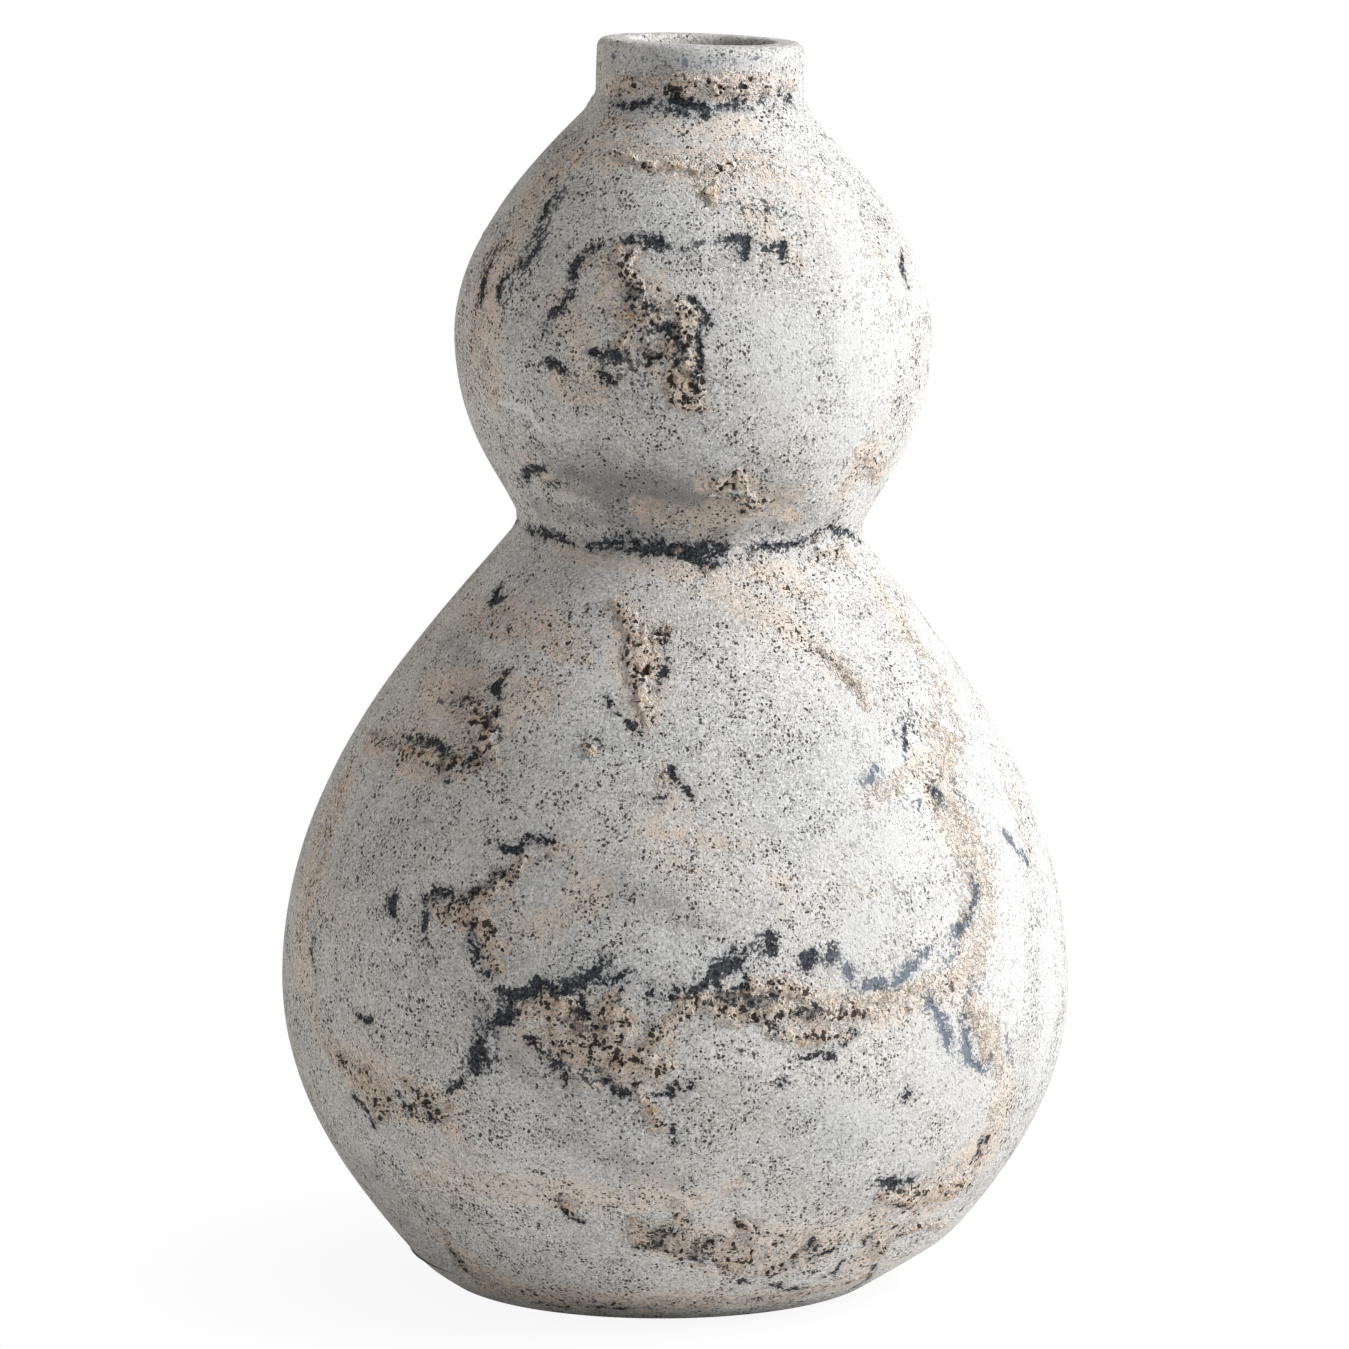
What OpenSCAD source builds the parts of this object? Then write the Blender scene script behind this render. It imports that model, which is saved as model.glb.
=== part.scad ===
// Double-gourd vase: thrown clay sections, luted together with slip.
// Z points up from the table, and X runs to the right as the vase is seen from the front.
// The lower gourd leans a little, the upper one stands plumb beside its middle,
// and the neck leans again, as on a pot that was joined by hand.

/* [Foot] */
// Radius of the flat face that the vase stands on
foot_r = 67.5; // [60:0.5:70]
// Place of the foot along X, measured from the middle of the belly
foot_shift = -4.5; // [-6:0.5:-1]
// Slope of the trimmed band round the foot, in degrees from the table
foot_slope = 31.5; // [29:0.5:38]
// Rounding of the foot's lower edge
foot_edge = 5; // [2:0.5:8]
// Thickness of the slab that closes the bottom
slab_t = 10; // [8:0.5:14]

/* [Lower gourd] */
// Lean of the lower gourd towards +X, in degrees
lean = 1.8; // [0:0.1:2.5]
// Largest outer radius, at the belly
belly_r = 125.5; // [118:0.5:132]
// Height of the belly above the table
belly_z = 96.5; // [90:0.5:104]
// Outer radius that the wall runs down to at the table, before trimming
heel_r = 75.5; // [74:0.5:80]
// Slope of the wall at the heel, in degrees from the table
heel_slope = 48; // [44:1:54]
// Reach of the heel's straight run into the belly curve
heel_pull = 45; // [36:1:52]
// Reach of the belly's upright run downwards
belly_low_pull = 36; // [28:1:42]
// Reach of the belly's upright run upwards
belly_high_pull = 66; // [56:1:76]
// Reach of the straight run below the waist
dome_pull = 40; // [30:1:48]
// Slope of the wall just below the waist, in degrees from plumb
dome_slope = 37; // [32:1:42]

/* [Waist] */
// Outer radius of the lower gourd's rim at the waist crease
waist_r = 53.5; // [50:0.5:58]
// Height of the waist crease along the lower gourd's axis
waist_z = 242.5; // [236:0.5:248]

/* [Upper gourd] */
// Place of the upper gourd's axis along X
upper_shift = 6; // [3:0.5:7]
// Largest outer radius of the upper gourd
upper_r = 75.4; // [70:0.2:80]
// Height of the upper gourd's widest ring
upper_z = 303.5; // [298:0.5:309]
// Slope of the wall just above the waist, in degrees from plumb
cup_slope = 26; // [22:1:32]
// Reach of the straight run above the waist
cup_pull = 20; // [14:1:24]
// Reach of the widest ring's upright run downwards
upper_low_pull = 31; // [24:1:35]
// Reach of the widest ring's upright run upwards
upper_high_pull = 33; // [27:1:40]
// Reach of the shoulder's straight run below the neck
shoulder_pull = 13; // [8:1:20]
// Slope of the shoulder at the neck, in degrees from the table
shoulder_slope = 50; // [44:1:54]

/* [Neck] */
// Place of the neck's axis along X
neck_shift = 7.8; // [6:0.2:8.6]
// Tilt of the neck towards +X, in degrees
neck_tilt = 1.7; // [0:0.1:2.4]
// Outer radius of the neck
neck_r = 32.5; // [29:0.5:36]
// Radius of the mouth
mouth_r = 22.5; // [20:0.5:24]
// Height of the seat that the neck stands on
neck_z = 375; // [370:0.5:380]
// Height of the neck from its seat to the rim, with the slip below it
neck_h = 20.5; // [14:0.5:30]
// Rounding of the rim's outer edge
lip_outer = 3; // [1.5:0.5:4]
// Rounding of the rim's inner edge
lip_inner = 2; // [1:0.5:3]

/* [Walls and joints] */
// Thickness of the thrown walls
wall_t = 9; // [7:0.5:10]
// Thickness of the wall where it stands on the slab
foot_wall_t = 13; // [11:0.5:15]
// Thickness of the slip in every joint
slip_t = 1; // [0.6:0.1:1.4]
// Half the width of the ridge that keys one section into the next
key_w = 2.6; // [2:0.1:2.8]
// Height of that ridge
key_h = 2.4; // [1.5:0.1:2.8]
// How much wider the hole below the neck is than the mouth
hole_gap = 1.2; // [0.6:0.1:1.6]
// Ledge left round the foot of the neck
neck_ledge = 0.6; // [0.2:0.1:1.2]

/* [Hidden] */
$fn = 96;
// Straight steps along each curve, and along each rounded edge
curve_steps = 11;
edge_steps = 5;
// Overrun of cuts and of stock that a cut takes off
over = 6;
// Colours of the fired coat and of the slip in the joints
coat_colour = "#bdb8b0";
crust_colour = "#b3aca2";
slip_colour = "#5b5a5c";

// Seats: where each lower section ends and its slip begins
foot_seat_z = slab_t;
belly_seat_z = belly_z - slip_t / 2;
waist_seat_z = waist_z - slip_t / 2;
upper_seat_z = upper_z - slip_t / 2;
hole_r = mouth_r + hole_gap;
neck_seat_r = neck_r + neck_ledge;

// A point and a direction on a curve with two pulls
function spot(c, t) = pow(1 - t, 3) * c[0] + 3 * pow(1 - t, 2) * t * c[1]
    + 3 * (1 - t) * t * t * c[2] + t * t * t * c[3];
function heading(c, t) = let (d = pow(1 - t, 2) * (c[1] - c[0]) + 2 * (1 - t) * t * (c[2] - c[1])
    + t * t * (c[3] - c[2])) d / norm(d);
function inward(c, t) = let (d = heading(c, t)) [-d[1], d[0]];

// Outer and inner lines of a wall, from its lower end to its upper end
function outer_line(c) = [for (i = [0:curve_steps]) spot(c, i / curve_steps)];
function inner_line(c, low_t, high_t) = [for (i = [0:curve_steps]) let (t = i / curve_steps)
    spot(c, t) + (low_t + (high_t - low_t) * t) * inward(c, t)];
function reversed(line) = [for (i = [len(line) - 1:-1:0]) line[i]];
// The point where a line from p in direction d reaches height z
function at_height(p, d, z) = p + d * (z - p[1]) / d[1];

// Curves of the four thrown walls, as radius and height
heel_curve = [[heel_r, 0],
    [heel_r + heel_pull * cos(heel_slope), heel_pull * sin(heel_slope)],
    [belly_r, belly_seat_z - belly_low_pull],
    [belly_r, belly_seat_z]];
dome_curve = [[belly_r, belly_seat_z + slip_t],
    [belly_r, belly_seat_z + slip_t + belly_high_pull],
    [waist_r + dome_pull * sin(dome_slope), waist_seat_z - dome_pull * cos(dome_slope)],
    [waist_r, waist_seat_z]];
cup_curve = [[waist_r, waist_seat_z + slip_t],
    [waist_r + cup_pull * sin(cup_slope), waist_seat_z + slip_t + cup_pull * cos(cup_slope)],
    [upper_r, upper_seat_z - upper_low_pull],
    [upper_r, upper_seat_z]];
shoulder_curve = [[upper_r, upper_seat_z + slip_t],
    [upper_r, upper_seat_z + slip_t + upper_high_pull],
    [neck_seat_r + shoulder_pull * cos(shoulder_slope), neck_z - shoulder_pull * sin(shoulder_slope)],
    [neck_seat_r, neck_z]];

// Rings that the joints lie on, as inner and outer radius
dome_inner = inner_line(dome_curve, wall_t, wall_t);
waist_inner_r = at_height(dome_inner[curve_steps], heading(dome_curve, 1), waist_seat_z)[0];
belly_ring = [belly_r - wall_t, belly_r];
waist_ring = [waist_inner_r, waist_r];
upper_ring = [upper_r - wall_t, upper_r];
neck_ring = [hole_r, neck_r];

// Axes of the sections
module lower_frame() {
    translate([0, 0, belly_z]) rotate([0, lean, 0]) translate([0, 0, -belly_z]) children();
}
module foot_frame() {
    translate([foot_shift, 0, 0]) children();
}
module upper_frame() {
    translate([upper_shift, 0, 0]) children();
}
module neck_frame() {
    translate([neck_shift, 0, neck_z]) rotate([0, neck_tilt, 0]) children();
}

// Points of the ridge line across a joint, from the inner to the outer radius
function keyed_line(ring, z) = let (mid = (ring[0] + ring[1]) / 2)
    [[ring[0], z], [mid - key_w, z], [mid, z - key_h], [mid + key_w, z], [ring[1], z]];
// A ring of slip, pressed between a grooved rim and a ridged one
module slip_ring(ring, z) {
    rotate_extrude() polygon(concat(keyed_line(ring, z), reversed(keyed_line(ring, z + slip_t))));
}
// The ridge alone, with stock above it that sinks into the wall it belongs to
module ridge(ring, z, stock) {
    mid = (ring[0] + ring[1]) / 2;
    rotate_extrude() polygon([[mid - key_w, z], [mid, z - key_h], [mid + key_w, z],
        [mid + key_w, z + stock], [mid - key_w, z + stock]]);
}

// The trimmed foot: a cone that widens from the table, with a rounded lower edge
function trim_r(z) = foot_r + z / tan(foot_slope);
function foot_edge_line() = let (run = foot_edge * tan(foot_slope / 2))
    [for (i = [0:edge_steps]) let (a = foot_slope * i / edge_steps)
        [foot_r - run + foot_edge * sin(a), foot_edge * (1 - cos(a))]];
module trim_slice(z_low, z_high) {
    low_line = z_low == 0 ? foot_edge_line() : [[trim_r(z_low), z_low]];
    foot_frame() rotate_extrude() polygon(concat([[0, z_low]], low_line,
        [[trim_r(z_high), z_high], [0, z_high]]));
}
// The lower bowl's wall as thrown, running on below the table
function heel_start() = heel_curve[0] - over * heading(heel_curve, 0);
function bowl_inner() = inner_line(heel_curve, foot_wall_t, wall_t);
module thrown_bowl() {
    inner = bowl_inner();
    lower_frame() rotate_extrude() polygon(concat([heel_start()], outer_line(heel_curve),
        reversed(keyed_line(belly_ring, belly_seat_z)), reversed(inner),
        [[inner[0][0], heel_start()[1]]]));
}

module base_slab() {
    stock = outer_line(heel_curve);
    color(crust_colour) intersection() {
        trim_slice(0, foot_seat_z);
        lower_frame() rotate_extrude() polygon(concat([[0, heel_start()[1]], heel_start()], stock,
            [[0, belly_seat_z]]));
    }
}
module foot_slip() {
    color(slip_colour) intersection() {
        trim_slice(foot_seat_z, foot_seat_z + slip_t);
        thrown_bowl();
    }
}
module lower_bowl() {
    color(coat_colour) intersection() {
        trim_slice(foot_seat_z + slip_t, belly_z + over);
        thrown_bowl();
    }
}
module belly_slip() {
    color(slip_colour) lower_frame() slip_ring(belly_ring, belly_seat_z);
}
module lower_dome() {
    color(coat_colour) lower_frame() rotate_extrude() polygon(concat(
        keyed_line(belly_ring, belly_seat_z + slip_t), outer_line(dome_curve),
        reversed(keyed_line(waist_ring, waist_seat_z)), reversed(dome_inner)));
}
module waist_slip() {
    color(slip_colour) lower_frame() slip_ring(waist_ring, waist_seat_z);
}
module upper_bowl() {
    inner = inner_line(cup_curve, wall_t, wall_t);
    low = waist_seat_z - over;
    low_outer = at_height(cup_curve[0], heading(cup_curve, 0), low);
    low_inner = at_height(inner[0], heading(cup_curve, 0), low);
    color(coat_colour) union() {
        difference() {
            upper_frame() rotate_extrude() polygon(concat([low_inner, low_outer], outer_line(cup_curve),
                reversed(keyed_line(upper_ring, upper_seat_z)), reversed(inner)));
            lower_frame() translate([0, 0, belly_z])
                cylinder(r = belly_r, h = waist_seat_z + slip_t - belly_z);
        }
        lower_frame() ridge(waist_ring, waist_seat_z + slip_t, key_h / 2);
    }
}
module shoulder_slip() {
    color(slip_colour) upper_frame() slip_ring(upper_ring, upper_seat_z);
}
module upper_dome() {
    inner = inner_line(shoulder_curve, wall_t, wall_t);
    top = neck_z + over;
    top_outer = at_height(shoulder_curve[3], heading(shoulder_curve, 1), top);
    top_inner = at_height(inner[curve_steps], heading(shoulder_curve, 1), top);
    color(coat_colour) difference() {
        upper_frame() rotate_extrude() polygon(concat(keyed_line(upper_ring, upper_seat_z + slip_t),
            outer_line(shoulder_curve), [top_outer, top_inner], reversed(inner)));
        neck_frame() cylinder(r = upper_r, h = neck_h);
        neck_frame() mirror([0, 0, 1]) cylinder(r = hole_r, h = neck_h);
        neck_frame() ridge(neck_ring, 0, key_h / 2);
    }
}
module neck_slip() {
    color(slip_colour) neck_frame() slip_ring(neck_ring, 0);
}
module neck_collar() {
    collar_ring = [mouth_r, neck_r];
    outer_lip = [for (i = [0:edge_steps]) let (a = 90 * i / edge_steps)
        [neck_r - lip_outer * (1 - cos(a)), neck_h - lip_outer * (1 - sin(a))]];
    inner_lip = [for (i = [0:edge_steps]) let (a = 90 * i / edge_steps)
        [mouth_r + lip_inner * (1 - sin(a)), neck_h - lip_inner * (1 - cos(a))]];
    key = keyed_line(neck_ring, slip_t);
    color(coat_colour) neck_frame() rotate_extrude() polygon(concat([[mouth_r, slip_t]],
        [for (i = [1:4]) key[i]], outer_lip, inner_lip));
}

base_slab();
foot_slip();
lower_bowl();
belly_slip();
lower_dome();
waist_slip();
upper_bowl();
shoulder_slip();
upper_dome();
neck_slip();
neck_collar();
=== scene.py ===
import math
import random
from collections import namedtuple
from itertools import product

import bmesh
import bpy
import numpy as np
from mathutils import Matrix, Vector
from mathutils.bvhtree import BVHTree


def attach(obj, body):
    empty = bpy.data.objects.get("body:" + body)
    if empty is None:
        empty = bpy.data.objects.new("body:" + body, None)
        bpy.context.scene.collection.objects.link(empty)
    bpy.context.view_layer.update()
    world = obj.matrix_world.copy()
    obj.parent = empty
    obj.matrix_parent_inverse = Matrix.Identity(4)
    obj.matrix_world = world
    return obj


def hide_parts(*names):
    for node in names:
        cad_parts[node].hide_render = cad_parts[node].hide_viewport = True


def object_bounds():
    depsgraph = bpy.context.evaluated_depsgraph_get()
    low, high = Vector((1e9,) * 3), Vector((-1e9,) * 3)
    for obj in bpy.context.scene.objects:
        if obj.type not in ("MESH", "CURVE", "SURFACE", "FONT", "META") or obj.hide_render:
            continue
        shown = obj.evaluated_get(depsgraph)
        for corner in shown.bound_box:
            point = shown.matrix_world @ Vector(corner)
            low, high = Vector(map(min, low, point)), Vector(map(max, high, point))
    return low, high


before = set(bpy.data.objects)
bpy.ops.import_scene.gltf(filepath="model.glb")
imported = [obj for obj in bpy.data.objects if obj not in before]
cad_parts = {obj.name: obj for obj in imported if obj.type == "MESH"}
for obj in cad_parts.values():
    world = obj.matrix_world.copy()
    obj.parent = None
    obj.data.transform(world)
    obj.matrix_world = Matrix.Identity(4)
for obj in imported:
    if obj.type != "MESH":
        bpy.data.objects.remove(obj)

cad_low, cad_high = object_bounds()

# Foot
FOOT_R = 0.0675
FOOT_SHIFT = -0.0045
FOOT_SLOPE = math.radians(31.5)
FOOT_EDGE = 0.005
SLAB_T = 0.010
# Lower gourd
LEAN = math.radians(1.8)
BELLY_R = 0.1255
BELLY_Z = 0.0965
HEEL_R = 0.0755
HEEL_SLOPE = math.radians(48)
HEEL_PULL = 0.045
BELLY_LOW_PULL = 0.036
BELLY_HIGH_PULL = 0.066
DOME_PULL = 0.040
DOME_SLOPE = math.radians(37)
# Waist
WAIST_R = 0.0535
WAIST_Z = 0.2425
# Upper gourd
UPPER_SHIFT = 0.006
UPPER_R = 0.0754
UPPER_Z = 0.3035
CUP_SLOPE = math.radians(26)
CUP_PULL = 0.020
UPPER_LOW_PULL = 0.031
UPPER_HIGH_PULL = 0.033
SHOULDER_PULL = 0.013
SHOULDER_SLOPE = math.radians(50)
# Neck
NECK_SHIFT = 0.0078
NECK_TILT = math.radians(1.7)
NECK_R = 0.0325
MOUTH_R = 0.0225
NECK_Z = 0.375
NECK_H = 0.0205
LIP_OUTER = 0.003
LIP_INNER = 0.002
# Walls and joints
WALL_T = 0.009
FOOT_WALL_T = 0.013
SLIP_T = 0.001
KEY_W = 0.0026
KEY_H = 0.0024
HOLE_R = MOUTH_R + 0.0012
NECK_SEAT_R = NECK_R + 0.0006
# How deep the coat covers the slip in each joint, and at the foot
LAP = 0.0008
FOOT_LAP = 4 * LAP
# The middle of the ridge and groove in each joint
BELLY_KEY = BELLY_R - WALL_T / 2
WAIST_KEY = WAIST_R - WALL_T / 2
SHOULDER_KEY = UPPER_R - WALL_T / 2
NECK_KEY = (HOLE_R + NECK_R) / 2
# How far above its foot the collar reaches its own width
NECK_FLARE = 0.0016

NECK_JOINT = NECK_Z + SLIP_T / 2
FOOT_JOINT = SLAB_T + SLIP_T / 2

# Fineness of the meshes
TURNS = 24
COLUMNS = 504
SLIP_COLUMNS = 120
LOWER_ROW = 0.00155
UPPER_ROW = 0.0011
NECK_ROW = 0.0006
SLAB_ROW = 0.0011
UNDERSIDE_ROW = 0.006
INNER_ROWS = 14
EDGE_ROWS = 8
# How many steps measure a curve
CURVE_STEPS = 400
# Points closer than this are one
DOUBLE = 1e-6
# Millimetres in a metre: the depths of the finishes are in millimetres
MM = 1000

# The photograph's frame, and the camera that takes it
PHOTO_SIDE = 1349
SENSOR = 36
LENS = 212.2
CAMERA_AT = Vector((0, -2.5, 0.56))
CAMERA_AIM = Vector((0, 0, 0.194))


# Frames of the sections, each taking heights above the table
def leaned(angle, about):
    centre = Matrix.Translation((0, 0, about))
    return centre @ Matrix.Rotation(angle, 4, "Y") @ centre.inverted()


LOWER_FRAME = leaned(LEAN, BELLY_Z)
FOOT_FRAME = Matrix.Translation((FOOT_SHIFT, 0, 0))
UPPER_FRAME = Matrix.Translation((UPPER_SHIFT, 0, 0))
NECK_FRAME = Matrix.Translation((NECK_SHIFT, 0, 0)) @ leaned(NECK_TILT, NECK_Z)


# Curves of the thrown walls, as radius and height, each ending in the middle of its joint
HEEL_CURVE = np.array([
    (HEEL_R, 0),
    (HEEL_R + HEEL_PULL * math.cos(HEEL_SLOPE), HEEL_PULL * math.sin(HEEL_SLOPE)),
    (BELLY_R, BELLY_Z - BELLY_LOW_PULL),
    (BELLY_R, BELLY_Z),
])
DOME_CURVE = np.array([
    (BELLY_R, BELLY_Z),
    (BELLY_R, BELLY_Z + BELLY_HIGH_PULL),
    (WAIST_R + DOME_PULL * math.sin(DOME_SLOPE), WAIST_Z - DOME_PULL * math.cos(DOME_SLOPE)),
    (WAIST_R, WAIST_Z),
])
CUP_CURVE = np.array([
    (WAIST_R, WAIST_Z),
    (WAIST_R + CUP_PULL * math.sin(CUP_SLOPE), WAIST_Z + CUP_PULL * math.cos(CUP_SLOPE)),
    (UPPER_R, UPPER_Z - UPPER_LOW_PULL),
    (UPPER_R, UPPER_Z),
])
SHOULDER_CURVE = np.array([
    (UPPER_R, UPPER_Z),
    (UPPER_R, UPPER_Z + UPPER_HIGH_PULL),
    (NECK_SEAT_R + SHOULDER_PULL * math.cos(SHOULDER_SLOPE),
     NECK_JOINT - SHOULDER_PULL * math.sin(SHOULDER_SLOPE)),
    (NECK_SEAT_R, NECK_JOINT),
])


def curve_point(curve, t):
    t = np.asarray(t, float)[..., None]
    s = 1 - t
    return s**3 * curve[0] + 3 * s**2 * t * curve[1] + 3 * s * t**2 * curve[2] + t**3 * curve[3]


def curve_heading(curve, t):
    t = np.asarray(t, float)[..., None]
    s = 1 - t
    run = s**2 * (curve[1] - curve[0]) + 2 * s * t * (curve[2] - curve[1])
    run = run + t**2 * (curve[3] - curve[2])
    return run / np.linalg.norm(run, axis=-1, keepdims=True)


def even_steps(curve, spacing, start=0):
    """Places along a curve that lie about one spacing apart."""
    fine = np.linspace(start, 1, CURVE_STEPS)
    gaps = np.linalg.norm(np.diff(curve_point(curve, fine), axis=0), axis=1)
    length = np.concatenate([[0], np.cumsum(gaps)])
    count = round(length[-1] / spacing)
    return np.interp(np.linspace(0, length[-1], count + 1), length, fine)


def smooth(value, low, high):
    """0 below low, 1 above high, and an even rise between."""
    x = np.clip((value - low) / (high - low), 0, 1)
    return x * x * (3 - 2 * x)


def placed(matrix, points):
    rotation = np.array(matrix.to_3x3())
    return points @ rotation.T + np.array(matrix.translation)


# Noise of the coat: steady random values on a lattice, with smooth steps between
LATTICE = 48
LATTICE_VALUES = np.random.default_rng(11).uniform(-1, 1, (LATTICE,) * 3)
DRIFT_SHIFTS = (3.1, 17.4, 31.8)


def cloud(places, size, shift):
    """Smooth noise from -1 to 1 whose lumps have the given size."""
    p = places / size + shift
    cell = np.floor(p).astype(int)
    part = p - cell
    part = part * part * (3 - 2 * part)
    value = np.zeros(len(places))
    for corner in product((0, 1), repeat=3):
        weight = np.prod(np.where(corner, part, 1 - part), axis=1)
        index = (cell + corner) % LATTICE
        value += weight * LATTICE_VALUES[index[:, 0], index[:, 1], index[:, 2]]
    return value


def waves(places, *kinds):
    """Noise of several kinds, each a height, a size and a shift, added up."""
    return sum(height * cloud(places, size, shift) for height, size, shift in kinds)


def drifted(places, size, reach):
    """Places moved about by noise, so that what is drawn there has torn edges."""
    moves = [cloud(places, size, shift) for shift in DRIFT_SHIFTS]
    return places + reach * np.stack(moves, axis=1)


# New objects
def added(name, data):
    made = bpy.data.objects.new(name, data)
    bpy.context.scene.collection.objects.link(made)
    return made


def added_mesh(name, mesh, *materials):
    data = bpy.data.meshes.new(name)
    mesh.to_mesh(data)
    mesh.free()
    for material in materials:
        data.materials.append(material)
    return added(name, data)


def facing(thing, aim):
    """Turns a camera or a lamp to what it is aimed at."""
    thing.rotation_euler = (aim - thing.location).to_track_quat("-Z", "Y").to_euler()


# The camera, and where a pixel of the photograph lies on the vase
def make_camera():
    data = bpy.data.cameras.new("photo_camera")
    data.sensor_width = SENSOR
    data.lens = LENS
    camera = added("photo_camera", data)
    camera.location = CAMERA_AT
    facing(camera, CAMERA_AIM)
    bpy.context.scene.camera = camera
    return camera


def cad_surface():
    """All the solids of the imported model, as one surface that rays can meet."""
    corners = []
    faces = []
    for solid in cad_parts.values():
        start = len(corners)
        corners += [solid.matrix_world @ v.co for v in solid.data.vertices]
        faces += [[start + i for i in face.vertices] for face in solid.data.polygons]
    return BVHTree.FromPolygons(corners, faces)


def seen_at(surface, turn, x, y):
    """The spot of the vase that a pixel of the photograph shows, or None beside it."""
    per_pixel = SENSOR / PHOTO_SIDE / LENS
    ray = Vector(((x - PHOTO_SIDE / 2) * per_pixel, (PHOTO_SIDE / 2 - y) * per_pixel, -1))
    return surface.ray_cast(CAMERA_AT, turn @ ray.normalized())[0]


def wall_at(surface, angle, height):
    """The spot of the outer wall in one direction from the middle, at one height."""
    middle = Vector((UPPER_SHIFT * height / NECK_Z, 0, height))
    out = Vector((math.cos(angle), math.sin(angle), 0))
    return surface.ray_cast(middle + out, -out)[0]


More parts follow.
